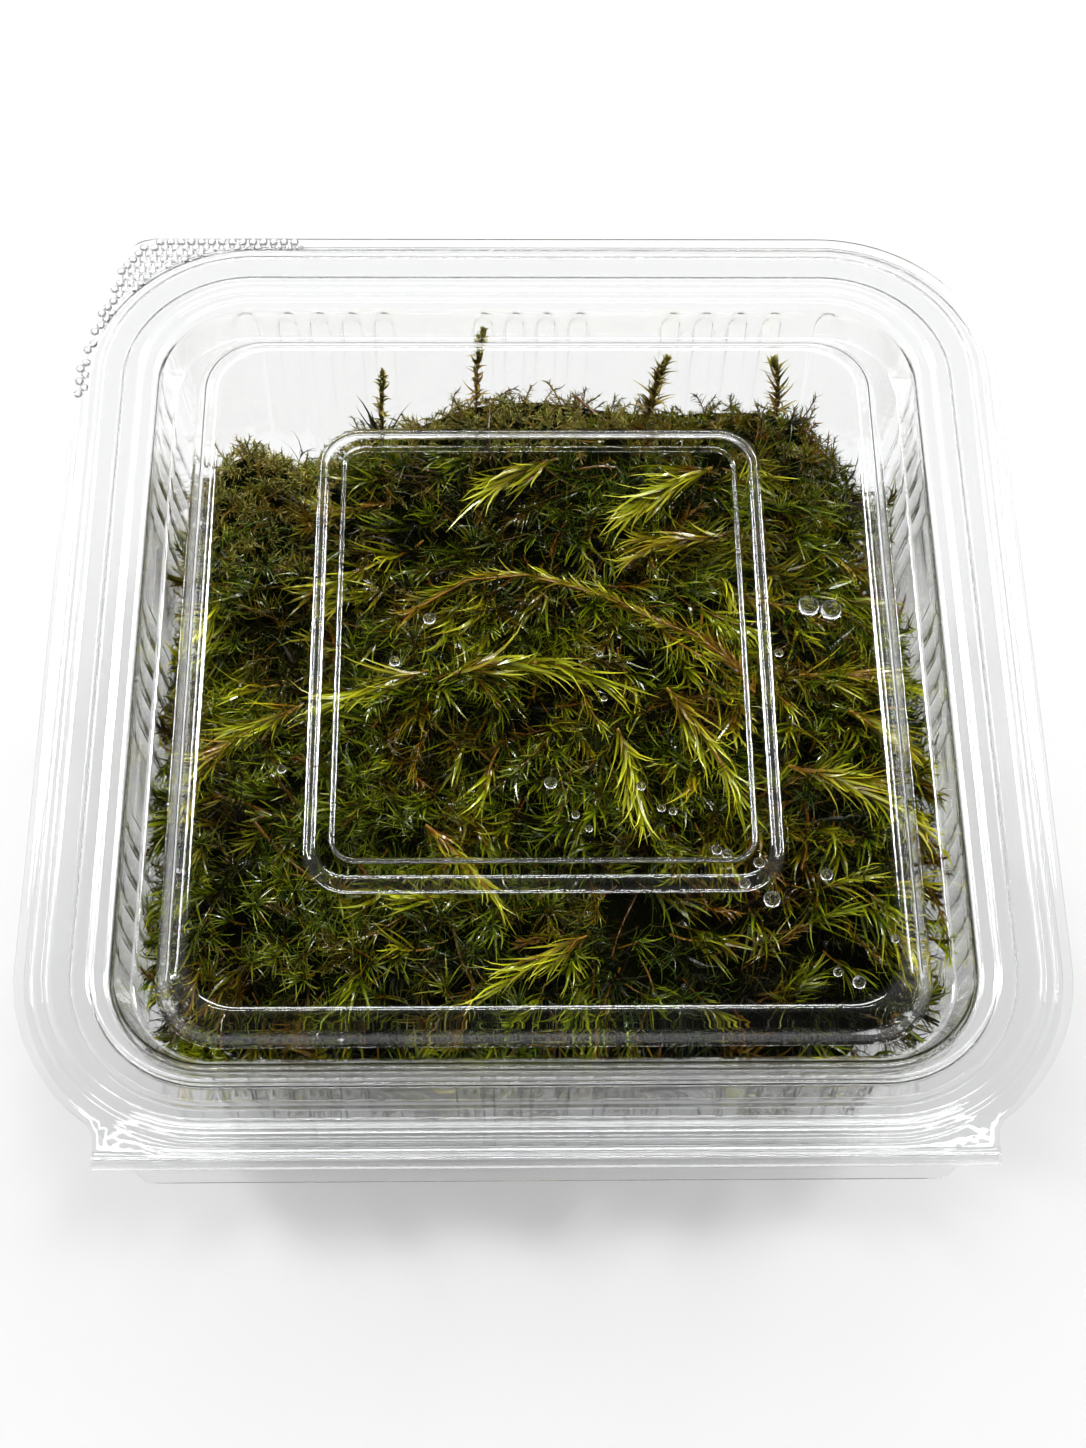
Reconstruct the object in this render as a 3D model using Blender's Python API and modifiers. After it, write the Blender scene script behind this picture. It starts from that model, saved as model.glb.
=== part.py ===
"""Moss clump in a clear hinged box: tray, lid, moss mat, loose strands and upright sprigs.

Metres, +Z up, +Y away from the hinge. The origin is on the underside, at the middle
of the closed box.
"""
import math

import bpy
from mathutils import Vector
from mathutils.bvhtree import BVHTree

MM = 0.001

# The lid's flange outline, which every other outline of the box is inset from
HALF_WIDTH = 72.4 * MM
HINGE_Y = -75.35 * MM
BACK_Y = 77.95 * MM
CORNER_RADIUS = 27.0 * MM
CORNER_STEPS = 10

SHEET = 0.5 * MM                      # thickness of the formed sheet
TRAY_FLANGE_Z = 43.6 * MM
LID_FLANGE_Z = 44.5 * MM

# Grip tab at the back left, as lines that its edge follows
TAB_CUT_TOP = Vector((-66.1 * MM, 75.9 * MM))
TAB_CUT_LOW = Vector((-72.4 * MM, 53.0 * MM))
TAB_NOSE = Vector((-62.9 * MM, 77.95 * MM))

# Ears at the two ends of the hinge fold
EAR_X = 59.9 * MM

# The tray's edge: a little inside the lid's, and dropped in a lip in front of the hinge
TRAY_MARGIN = 1.3 * MM
LIP_REACH = 2.35 * MM                 # how far the lip stands in front of the hinge line
LIP_CUT = 130.5 * MM                  # |x| - y along the slanted cuts at the lip's two ends
LIP_DROP = 1.7 * MM
LIP_START_Y = -71.5 * MM
LIP_FULL_Y = -76.6 * MM

# Tray sections: inset from the lid's outline, and height
TRAY_BEAD = ((2.4, 43.6), (7.2, 43.6), (7.7, 44.3), (9.9, 44.3), (10.4, 43.6), (11.9, 43.6))
WALL_TOP = (12.7, 43.0)
WALL_FOOT = (15.4, 4.6)
FLOOR_BEND = ((16.1, 2.0), (17.6, 0.7), (19.4, 0.25))

# Lid sections: inset and height, and for the gutter's outer side a corner radius too
LID_RIM = ((2.0, 44.5), (2.6, 44.9), (3.8, 44.9), (4.7, 45.7), (9.8, 45.7), (10.7, 44.95),
           (12.3, 44.8), (13.1, 44.1))
GUTTER = ((15.0, 39.1, 12.0), (15.6, 38.8, 11.4))

# The raised top: half width, front, back, corner radius and height of each ring
PLATEAU_EDGE = ((53.2, -57.35, 61.35, 9.2, 38.8), (52.7, -56.9, 60.8, 9.0, 39.3),
                (50.6, -54.9, 57.8, 8.2, 42.4), (50.1, -54.4, 57.15, 7.8, 42.8))
FRAME_RINGS = ((33.7, -36.4, 41.2, 6.2, 42.8), (32.4, -34.7, 39.9, 5.0, 43.7),
               (30.2, -32.3, 37.9, 3.6, 43.7), (29.7, -31.8, 37.4, 3.2, 43.25))

# The moss mat: a lumpy cushion between the tray's walls
MAT_POINTS = 64
MAT_POWER = 7.0                       # how square the plan is
MAT_LOW_Z = 1.0
MAT_WALL = ((1.0, 19.9), (3.6, 17.6), (7.5, 16.2), (12.0, 15.7), (24.0, 14.9), (40.0, 13.9))
MAT_SIDE_SHARES = (0.0, 0.12, 0.31, 0.55)   # heights of the side's rings, up to the edge
MAT_FRONT_TUCK = (6.5, 3.0)           # how far the front side lies back, below and at the edge
MAT_STEPS = (0.0, 2.0, 5.5, 10.5, 17.0, 24.0, 31.0, 38.0, 45.0, 51.5)
MAT_EDGE_INSET = 15.2
MAT_EDGE_Z = 20.0
MAT_LEAST_Z = 3.5
MAT_RISE = 8.0                        # from the edge to the middle of the mat
MAT_SHOULDER = 16.0                   # over how much inset the mat rises
# Each lump: where it is, how wide and how high it stands over the plain cushion
LUMPS = ((-2, 58, 15, 4.5), (36, 57, 10, 2.5), (61, 59, 10, -16), (49, 60, 8, 1.5),
         (-24, 62, 7, -5), (-38, 63, 6.5, -11), (-38, 54, 8, -5), (-35, 55, 4, -2.5),
         (-50, 66, 11, -17), (-50, 52, 8, 7), (-61, 50, 7, -9),
         (0, 40, 14, 1.5), (26, 40, 14, 2), (8, 14, 16, 2), (-22, 6, 13, 1.5),
         (-46, 9, 8, -6), (44, 8, 12, 1.5), (-40, -22, 14, 1.5), (-4, -22, 13, -2.5),
         (26, -22, 13, -1), (-20, -46, 13, 1.5), (18, -50, 12, 1), (58, 36, 9, -2),
         (57, 14, 10, 2), (57, -2, 10, 10), (57, -20, 11, 13), (57, -37, 9, 9),
         (-57, 26, 11, 5), (-57, 0, 10, 3), (-57, -18, 12, 6), (-57, -38, 11, 4))

# Loose strands on the mat: waypoints across it from tip to foot, and the tuft's radius
STRANDS = {
    "strand_yellow_left": (((-50.4, -10.0), (-42.8, -3.7), (-35.9, 0.0)), 1.5),
    "strand_green_left": (((-29.8, 0.5), (-22.8, 3.5), (-17.0, 5.2)), 1.6),
    "strand_bright_middle": (((7.4, 3.7), (0.5, 6.1), (-7.9, 6.1), (-13.2, 4.4)), 2.0),
    "strand_brown_long": (((-19.1, 16.1), (-11.1, 21.5), (-1.8, 21.9), (9.1, 18.2),
                           (16.8, 14.3), (24.4, 11.1), (29.6, 6.6), (32.7, 1.4)), 1.9),
    "strand_green_middle": (((14.6, -16.3), (13.5, -10.0), (11.6, -4.5)), 1.7),
    "strand_green_right": (((29.2, -14.7), (25.6, -7.1), (22.5, -2.0), (19.2, 2.3)), 1.7),
    "strand_far_right": (((56.8, -11.5), (51.0, -5.8), (46.5, -3.0)), 1.7),
    "strand_upper_right": (((54.7, 1.9), (47.5, 3.6), (39.5, 4.0)), 1.4),
    "strand_edge_right": (((53.5, -22.1), (47.2, -17.2), (42.2, -13.4), (37.1, -11.0)), 1.7),
    "strand_front_left": (((-7.2, -31.2), (-10.8, -26.4), (-14.2, -22.6), (-17.2, -20.0)), 1.6),
    "strand_front_middle": (((-4.8, -44.5), (-0.9, -41.9), (2.7, -39.5), (6.3, -38.0)), 1.5),
    "strand_tuft_back": (((-6.6, 37.7), (-1.8, 40.6), (3.0, 42.5)), 1.9),
    "strand_tuft_right": (((15.6, 34.9), (22.1, 38.7), (27.8, 41.5)), 2.0),
    "strand_tuft_middle": (((15.4, 25.5), (21.8, 28.3), (28.9, 29.2)), 1.9),
}
STRAND_SAMPLES = 9
STRAND_GAP = 0.5 * MM                 # clear space between a strand and the mat
STRAND_END_SHARE = 0.35               # radius at the two ends, as a share of the middle

# Upright sprigs at the back: where the foot stands on the mat, places up to the tip,
# and the radius
SPRIGS = {
    "sprig_tall": ((-10.0, 59.6), ((-9.6, 61.9, 33.2), (-9.2, 63.3, 36.4),
                                   (-8.6, 64.05, 39.5)), 0.75),
    "sprig_left": ((-26.0, 59.6), ((-25.6, 61.4, 26.0), (-25.3, 62.3, 30.1)), 0.9),
    "sprig_bushy": ((18.7, 58.6), ((20.0, 60.8, 30.5), (21.3, 62.0, 33.6)), 1.5),
    "sprig_right": ((40.3, 58.6), ((39.6, 60.8, 30.4), (38.7, 62.2, 33.0)), 0.9),
}
SPRIG_SAMPLES = 6
TUBE_SIDES_RESOLUTION = 1


def fresh_collection(name):
    """Empty the scene and give it one collection for the object."""
    for old in list(bpy.data.objects):
        bpy.data.objects.remove(old, do_unlink=True)
    made = bpy.data.collections.new(name)
    bpy.context.scene.collection.children.link(made)
    return made


def plain_material(name, colour, roughness, transmission=0.0, ior=1.45):
    """A Principled material with one colour."""
    made = bpy.data.materials.new(name)
    made.use_nodes = True
    shader = made.node_tree.nodes["Principled BSDF"]
    shader.inputs["Base Color"].default_value = (*colour, 1.0)
    shader.inputs["Roughness"].default_value = roughness
    shader.inputs["Metallic"].default_value = 0.0
    shader.inputs["Transmission Weight"].default_value = transmission
    shader.inputs["IOR"].default_value = ior
    return made


def outline(half_width, front, back, radius, height, reach=None):
    """A rounded rectangle, anticlockwise from its right side.

    reach(corner, angle, radius) gives another distance from the corner's centre.
    """
    centres = ((half_width - radius, back - radius), (radius - half_width, back - radius),
               (radius - half_width, front + radius), (half_width - radius, front + radius))
    points = []
    for corner, (x, y) in enumerate(centres):
        for step in range(CORNER_STEPS + 1):
            angle = math.radians(90.0 * (corner + step / CORNER_STEPS))
            distance = reach(corner, angle, (x, y), radius) if reach else radius
            points.append(Vector((x + distance * math.cos(angle),
                                  y + distance * math.sin(angle), height)))
    return points


def inset_outline(inset, height, radius=None):
    """The lid's outline, moved in all round by a distance in millimetres."""
    step = inset * MM
    round_by = CORNER_RADIUS - step if radius is None else radius * MM
    return outline(HALF_WIDTH - step, HINGE_Y + step, BACK_Y - step, round_by, height * MM)


def ray_to_line(centre, angle, point, other):
    """Distance from a centre, along an angle, to the line through two points."""
    direction = Vector((math.cos(angle), math.sin(angle)))
    along = other - point
    normal = Vector((along.y, -along.x))
    facing = direction.dot(normal)
    if abs(facing) < 1e-9:
        return math.inf
    distance = (point - Vector(centre)).dot(normal) / facing
    return distance if distance > 0 else math.inf


def lid_reach(corner, angle, centre, radius):
    """The lid's edge: a grip tab at the back left, ears in front, else a round corner."""
    if corner == 1:
        top = Vector((0.0, BACK_Y))
        return min(ray_to_line(centre, angle, top, top + Vector((1.0, 0.0))),
                   ray_to_line(centre, angle, TAB_NOSE, TAB_CUT_TOP),
                   ray_to_line(centre, angle, TAB_CUT_TOP, TAB_CUT_LOW),
                   ray_to_line(centre, angle, Vector((-HALF_WIDTH, 0.0)),
                               Vector((-HALF_WIDTH, 1.0))))
    if corner in (2, 3):
        side = EAR_X if corner == 3 else -EAR_X
        ear = min(ray_to_line(centre, angle, Vector((0.0, HINGE_Y)), Vector((1.0, HINGE_Y))),
                  ray_to_line(centre, angle, Vector((side, 0.0)), Vector((side, 1.0))))
        return max(radius, ear)
    return radius


def smooth_share(value):
    """0 to 1 with soft ends."""
    share = min(max(value, 0.0), 1.0)
    return share * share * (3.0 - 2.0 * share)


def tray_reach(corner, angle, centre, radius):
    """The tray's edge: round corners, and in front a lip with slanted ends."""
    if -math.sin(angle) <= abs(math.cos(angle)):
        return radius
    side = 1.0 if corner == 3 else -1.0
    lip = ray_to_line(centre, angle, Vector((0.0, HINGE_Y - LIP_REACH)),
                      Vector((1.0, HINGE_Y - LIP_REACH)))
    cut = ray_to_line(centre, angle, Vector((0.0, -LIP_CUT)), Vector((side, 1.0 - LIP_CUT)))
    return max(radius, min(lip, cut))


def tray_edge():
    """The tray's outer edge, with its front dropped in a lip."""
    points = outline(HALF_WIDTH - TRAY_MARGIN, HINGE_Y + TRAY_MARGIN, BACK_Y - TRAY_MARGIN,
                     CORNER_RADIUS - TRAY_MARGIN, TRAY_FLANGE_Z, tray_reach)
    for point in points:
        share = smooth_share((LIP_START_Y - point.y) / (LIP_START_Y - LIP_FULL_Y))
        point.z -= LIP_DROP * share
    return points


def loft(rings, close_first=False, close_last=False):
    """Vertices and faces of a skin through rings of equal point counts."""
    count = len(rings[0])
    vertices = [point for ring in rings for point in ring]
    faces = []
    for row in range(len(rings) - 1):
        for i in range(count):
            j = (i + 1) % count
            low, high = row * count, (row + 1) * count
            faces.append((low + i, low + j, high + j, high + i))
    if close_first:
        faces.append(tuple(reversed(range(count))))
    if close_last:
        start = (len(rings) - 1) * count
        faces.append(tuple(range(start, start + count)))
    return vertices, faces


def mesh_object(name, vertices, faces, material, collection):
    """A named object with one mesh and one material."""
    mesh = bpy.data.meshes.new(name)
    mesh.from_pydata([tuple(v) for v in vertices], [], faces)
    mesh.materials.append(material)
    mesh.update()
    made = bpy.data.objects.new(name, mesh)
    collection.objects.link(made)
    return made


def formed_sheet(name, rings, material, collection):
    """An open skin through the rings, closed over the last one, given the sheet's thickness."""
    vertices, faces = loft(rings, close_last=True)
    made = mesh_object(name, vertices, faces, material, collection)
    wall = made.modifiers.new("sheet", "SOLIDIFY")
    wall.thickness = SHEET
    wall.offset = 0.0
    wall.use_even_offset = True
    return made


def make_tray(material, collection):
    """Floor, sloping walls, and a flange with a low bead that the lid's bead covers."""
    rings = [tray_edge()]
    for inset, height in TRAY_BEAD + (WALL_TOP, WALL_FOOT) + FLOOR_BEND:
        rings.append(inset_outline(inset, height))
    return formed_sheet("tray", rings, material, collection)


def make_lid(material, collection):
    """Flange with ears and grip tab, bead, gutter, and a raised top with a square frame."""
    edge = outline(HALF_WIDTH, HINGE_Y, BACK_Y, CORNER_RADIUS, LID_FLANGE_Z, lid_reach)
    rings = [edge]
    for inset, height in LID_RIM:
        rings.append(inset_outline(inset, height))
    for inset, height, radius in GUTTER:
        rings.append(inset_outline(inset, height, radius))
    for half_width, front, back, radius, height in PLATEAU_EDGE + FRAME_RINGS:
        rings.append(outline(half_width * MM, front * MM, back * MM, radius * MM,
                             height * MM))
    return formed_sheet("lid", rings, material, collection)


def mat_place(i, inset, front_tuck):
    """A place on the mat's plan, a square with soft corners, in millimetres."""
    half_x = HALF_WIDTH / MM - inset
    half_y = (BACK_Y - HINGE_Y) / MM / 2 - inset
    middle_y = (BACK_Y + HINGE_Y) / MM / 2
    angle = 2 * math.pi * i / MAT_POINTS
    c, s = math.cos(angle), math.sin(angle)
    size = (abs(c) ** MAT_POWER + abs(s) ** MAT_POWER) ** (-1 / MAT_POWER)
    depth = half_y - front_tuck if s < 0 else half_y
    return half_x * size * c, middle_y + depth * size * s


def mat_height(x, y, from_edge):
    """Height of the moss tips over the floor at a place on the mat, in millimetres."""
    height = MAT_EDGE_Z + MAT_RISE * smooth_share(from_edge / MAT_SHOULDER)
    for lump_x, lump_y, width, rise in LUMPS:
        away = ((x - lump_x) ** 2 + (y - lump_y) ** 2) / width ** 2
        height += rise * math.exp(-away)
    return max(height, MAT_LEAST_Z)


def wall_inset(height):
    """How far in the mat's side lies at a height, in millimetres."""
    for (low, low_inset), (high, high_inset) in zip(MAT_WALL, MAT_WALL[1:]):
        if height <= high:
            share = (height - low) / (high - low)
            return low_inset + (high_inset - low_inset) * share
    return MAT_WALL[-1][1]


def make_mat(material, collection):
    """The matted body of the moss: flat below, lumpy above, close to the tray's walls."""
    columns = []
    low_tuck, edge_tuck = MAT_FRONT_TUCK
    for i in range(MAT_POINTS):
        edge_z = mat_height(*mat_place(i, MAT_EDGE_INSET, edge_tuck), 0.0)
        column = []
        for share in MAT_SIDE_SHARES:
            z = MAT_LOW_Z + share * (edge_z - MAT_LOW_Z)
            tuck = low_tuck + share * (edge_tuck - low_tuck)
            column.append((*mat_place(i, wall_inset(z), tuck), z))
        for step in MAT_STEPS:
            x, y = mat_place(i, wall_inset(edge_z) + step, edge_tuck)
            column.append((x, y, mat_height(x, y, step)))
        columns.append(column)
    rings = [[Vector(column[row]) * MM for column in columns] for row in range(len(columns[0]))]
    vertices, faces = loft(rings, close_first=True, close_last=True)
    made = mesh_object("moss_mat", vertices, faces, material, collection)
    made.data.polygons.foreach_set("use_smooth", [True] * len(made.data.polygons))
    return made


def through(points, samples):
    """Places along a smooth curve through the points, evenly spread over its spans."""
    ends = [points[0]] + list(points) + [points[-1]]
    spans = len(points) - 1
    places = []
    for i in range(samples):
        position = spans * i / (samples - 1)
        span = min(int(position), spans - 1)
        t = position - span
        a, b, c, d = (Vector(p) for p in ends[span:span + 4])
        places.append(0.5 * (2 * b + (c - a) * t + (2 * a - 5 * b + 4 * c - d) * t * t
                             + (3 * b - a - 3 * c + d) * t ** 3))
    return places


def tube(name, places, radius, material, collection):
    """A stem with its leaves as one closed tube that narrows to both ends."""
    curve = bpy.data.curves.new(name, "CURVE")
    curve.dimensions = "3D"
    curve.bevel_depth = radius
    curve.bevel_resolution = TUBE_SIDES_RESOLUTION
    curve.use_fill_caps = True
    spline = curve.splines.new("POLY")
    spline.points.add(len(places) - 1)
    for i, (point, place) in enumerate(zip(spline.points, places)):
        point.co = (*place, 1.0)
        swell = math.sin(math.pi * i / (len(places) - 1))
        point.radius = STRAND_END_SHARE + (1.0 - STRAND_END_SHARE) * swell
    curve.materials.append(material)
    made = bpy.data.objects.new(name, curve)
    collection.objects.link(made)
    return made


def top_of(surface, x, y, radius):
    """Highest point of a surface under a round spot."""
    high = 0.0
    for i in range(8):
        angle = math.pi * i / 4
        start = Vector((x + radius * math.cos(angle), y + radius * math.sin(angle), 1.0))
        hit = surface.ray_cast(start, Vector((0.0, 0.0, -1.0)))[0]
        if hit is not None:
            high = max(high, hit.z)
    return high


def make_strands(mat, material, collection):
    """Loose shoots that lie over the mat."""
    surface = BVHTree.FromObject(mat, bpy.context.evaluated_depsgraph_get())
    for name, (waypoints, width) in STRANDS.items():
        radius = width * MM
        flat = through([(x * MM, y * MM, 0.0) for x, y in waypoints], STRAND_SAMPLES)
        places = [Vector((p.x, p.y, top_of(surface, p.x, p.y, radius) + radius + STRAND_GAP))
                  for p in flat]
        tube(name, places, radius, material, collection)


def make_sprigs(mat, material, collection):
    """Upright shoots that stand on the mat in front of the back wall."""
    surface = BVHTree.FromObject(mat, bpy.context.evaluated_depsgraph_get())
    for name, ((foot_x, foot_y), upper, width) in SPRIGS.items():
        radius = width * MM
        foot_z = top_of(surface, foot_x * MM, foot_y * MM, radius) + radius + STRAND_GAP
        waypoints = [(foot_x, foot_y, foot_z / MM)] + list(upper)
        places = [place * MM for place in through(waypoints, SPRIG_SAMPLES)]
        tube(name, places, radius, material, collection)


box = fresh_collection("moss_clump")
clear = plain_material("clear_sheet", (0.95, 0.96, 0.96), 0.05, transmission=1.0, ior=1.57)
green = plain_material("moss_green", (0.10, 0.16, 0.02), 0.75)
yellow_green = plain_material("shoot_green", (0.28, 0.32, 0.04), 0.65)

make_tray(clear, box)
make_lid(clear, box)
moss_mat = make_mat(green, box)
make_strands(moss_mat, yellow_green, box)
make_sprigs(moss_mat, yellow_green, box)
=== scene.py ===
# %% [markdown]
# # A clump of wet moss in a clear hinged box
#
# A square box of thin clear sheet holds a mat of moss. The lid hinges on a fold along the
# front edge. Each cell below makes one part and prints what it made.
#
# 1. Load the frame, which has the box and the mat as plain solids.
# 2. Form the two clear shells from rounded rings.
# 3. Grow moss shoots, and scatter them over the mat with Geometry Nodes.
# 4. Lay the loose strands and the upright sprigs.
# 5. Add water drops, the fold, the grip tab's dimples, light and camera.

# %% [markdown]
# ## The frame
#
# The box and the clump already exist as plain solids with a hinge between them. We only
# add looks: each piece made below stands in for one of those solids, rides along on the tray
# or the lid, or, like the fold, stays on neither.

import math

import bmesh
import bpy
import numpy as np
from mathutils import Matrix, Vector
from mathutils.bvhtree import BVHTree


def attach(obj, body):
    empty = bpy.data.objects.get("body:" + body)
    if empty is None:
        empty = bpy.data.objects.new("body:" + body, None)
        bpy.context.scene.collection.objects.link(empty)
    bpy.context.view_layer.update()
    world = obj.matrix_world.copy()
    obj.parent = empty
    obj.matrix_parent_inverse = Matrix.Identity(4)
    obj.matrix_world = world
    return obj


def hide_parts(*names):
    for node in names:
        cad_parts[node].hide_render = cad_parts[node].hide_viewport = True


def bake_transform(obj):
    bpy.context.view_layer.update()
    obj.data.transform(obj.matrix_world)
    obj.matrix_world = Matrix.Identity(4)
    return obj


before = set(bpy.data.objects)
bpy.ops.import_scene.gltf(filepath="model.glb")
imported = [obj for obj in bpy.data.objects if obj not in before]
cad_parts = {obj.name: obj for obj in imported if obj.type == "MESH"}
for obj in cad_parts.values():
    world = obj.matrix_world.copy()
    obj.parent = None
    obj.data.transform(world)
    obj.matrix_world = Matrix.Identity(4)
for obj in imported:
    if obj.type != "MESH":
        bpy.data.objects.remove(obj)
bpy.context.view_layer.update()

MM = 0.001

# %% [markdown]
# ## Materials
#
# A material is a small tree of nodes, and so is a Geometry Nodes setup. Setting up each node
# by hand takes many lines, so one helper adds a node, sets its options, and fills its inputs
# with values or with links from other nodes.

# %% Nodes and plain materials
def add_node(tree, kind, inputs=(), **settings):
    """A new node in a tree. Each input takes a value or another node's output."""
    node = tree.nodes.new(kind)
    for key, value in settings.items():
        setattr(node, key, value)
    for label, value in inputs:
        socket = node.inputs[label] if isinstance(label, int) else next(
            s for s in node.inputs if s.name == label and s.enabled)
        if hasattr(value, "is_linked"):
            tree.links.new(value, socket)
        else:
            socket.default_value = value
    return node


def principled(name, colour, roughness, transmission=0.0, ior=1.5, shine=0.5):
    """A Principled material, and its shader node."""
    made = bpy.data.materials.new(name)
    made.use_nodes = True
    shader = made.node_tree.nodes["Principled BSDF"]
    for label, value in (("Base Color", (*colour, 1.0)), ("Roughness", roughness),
                         ("Transmission Weight", transmission), ("IOR", ior),
                         ("Specular IOR Level", shine)):
        shader.inputs[label].default_value = value
    return made, shader


def attribute(tree, name):
    """The output of a node that reads a float attribute of the mesh."""
    return add_node(tree, "ShaderNodeAttribute", attribute_name=name).outputs["Fac"]

# %% [markdown]
# ### The colour of a leaf
#
# Wet moss leaves are darkest at the foot, which is painted shade inside the shoot, fresh green
# along the blade, and yellow at the tip, a painted glow of light shining through them. Old
# leaves turn rusty. A picture of moss could be laid over the mat, but it would stay flat. Each
# leaf is a face of its own here, so the colour comes from attributes that the maker of a leaf
# writes on its points: `along` runs up the leaf, `age` says how brown it is, and `tint`
# differs from shoot to shoot.

# %% Leaf colours
def ramp(tree, value, stops):
    """A colour ramp over a value from 0 to 1."""
    node = add_node(tree, "ShaderNodeValToRGB", [("Fac", value)])
    elements = node.color_ramp.elements
    while len(elements) < len(stops):
        elements.new(0.5)
    for element, (position, colour) in zip(elements, stops):
        element.position = position
        element.color = (*colour, 1.0)
    return node.outputs["Color"]


def blend_colours(tree, share, first, second, kind="MIX"):
    """Mix two colours by a share."""
    node = add_node(tree, "ShaderNodeMix", [("Factor", share), ("A", first), ("B", second)],
                    data_type="RGBA", blend_type=kind)
    return node.outputs["Result"]


TINTS = ((0.0, (0.38, 0.42, 0.3)), (0.35, (0.75, 0.8, 0.6)), (0.7, (1.0, 1.0, 1.0)),
         (1.0, (1.0, 0.82, 0.7)))


def leaf_material(name, dark, fresh, tip, old, roughness=0.25, shine=0.15):
    """Moss leaves: painted shade at the foot, fresh, then a painted glow at the end; brown where
    old.
    """
    made, shader = principled(name, fresh, roughness, shine=shine)
    tree = made.node_tree
    along = attribute(tree, "along")
    # Painted shade at the foot of each leaf, and a painted glow of light at its tip.
    by_leaf = ramp(tree, along, ((0.0, dark), (0.4, fresh), (0.95, tip)))
    # Old leaves get the same painted shade at the foot.
    shaded_old_foot = tuple(0.4 * c for c in old)
    by_age = ramp(tree, along, ((0.0, shaded_old_foot), (0.5, old), (1.0, fresh)))
    place = add_node(tree, "ShaderNodeTexCoord").outputs["Object"]
    noise = add_node(tree, "ShaderNodeTexNoise",
                     [("Vector", place), ("Scale", 95.0), ("Detail", 2.0)])
    older = add_node(tree, "ShaderNodeMapRange", [("Value", noise.outputs["Fac"]),
                                                  ("From Min", 0.5), ("From Max", 0.75)])
    aged = add_node(tree, "ShaderNodeMath", [(0, attribute(tree, "age")),
                                             (1, older.outputs["Result"])],
                    operation="ADD", use_clamp=True)
    grown_colour = blend_colours(tree, aged.outputs[0], by_leaf, by_age)
    by_tint = ramp(tree, attribute(tree, "tint"), TINTS)
    tinted = blend_colours(tree, 1.0, grown_colour, by_tint, "MULTIPLY")
    tree.links.new(tinted, shader.inputs["Base Color"])
    return made


# %% [markdown]
# ### The colours in use
#
# The sheet and the water are plain glass-like materials: full transmission, hardly any
# roughness, and the right index of refraction (1.5 for the sheet, 1.33 for water). The dew
# has a higher index than water, because beads this small would otherwise lose their
# glint. The moss takes six mixes, from the bright tips of the long shoots to the old growth
# that fills the depth, nearly black with painted shade. The bed under the shoots is a nearly
# black sheet of painted shade.

# %% Colours
clear, _ = principled("clear_sheet", (0.995, 0.998, 0.998), 0.01, transmission=1.0, ior=1.5)
drop_water, _ = principled("drop_water", (1.0, 1.0, 1.0), 0.0, transmission=1.0, ior=1.33)
dew, _ = principled("dew", (1.0, 1.0, 1.0), 0.0, transmission=1.0, ior=1.8)
# A nearly black bed: painted shade for the depth under the shoots.
painted_shade_bed, _ = principled("painted_shade_bed", (0.002, 0.0025, 0.0005), 1.0, shine=0.0)
leaf_bright = leaf_material("leaf_bright", (0.06, 0.065, 0.001), (0.30, 0.34, 0.004),
                            (0.66, 0.64, 0.035), (0.24, 0.11, 0.006), roughness=0.1, shine=0.8)
leaf_fresh = leaf_material("leaf_fresh", (0.003, 0.007, 0.0002), (0.075, 0.115, 0.001),
                           (0.31, 0.34, 0.008), (0.14, 0.065, 0.003), roughness=0.1, shine=0.8)
leaf_wisp = leaf_material("leaf_wisp", (0.0015, 0.004, 0.0001), (0.028, 0.062, 0.0005),
                          (0.11, 0.17, 0.002), (0.05, 0.03, 0.002), roughness=0.15, shine=0.6)
leaf_rust = leaf_material("leaf_rust", (0.008, 0.004, 0.0003), (0.12, 0.062, 0.003),
                          (0.26, 0.18, 0.01), (0.12, 0.048, 0.003), roughness=0.1, shine=0.8)
leaf_frost = leaf_material("leaf_frost", (0.02, 0.02, 0.003), (0.21, 0.20, 0.025),
                           (0.56, 0.53, 0.19), (0.19, 0.12, 0.015), roughness=0.5)
# Old growth in the depth, nearly black with painted shade.
leaf_old_and_shaded = leaf_material("leaf_old_and_shaded", (0.0004, 0.0006, 0.0001), (0.004, 0.0065, 0.0002),
                          (0.022, 0.027, 0.001), (0.014, 0.008, 0.0008), roughness=0.3)
print("materials:", [material.name for material in bpy.data.materials])

# %% [markdown]
# ## The clear shells
#
# The real box is one sheet, heated and sucked into a mould, so every step of it runs all
# the way round as a rounded square. It could be modelled as a box with many bevelled
# loops, but then each change of a step means a new mesh. Here a step is a ring: half
# width, front, back, corner radius and height. A shell is a stack of rings, and a few
# numbers describe it. The sizes below are measured for the closed box, and the flutes are
# the upright grooves that stiffen the tray's walls, in groups of four or five.

# %% Box sizes in millimetres
HALF_WIDTH = 72.4
HINGE_Y = -75.35
BACK_Y = 77.95
CORNER_RADIUS = 27.0
SHEET = 0.42
LID_FLANGE_Z = 44.5
ARC_STEPS = 26

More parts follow.
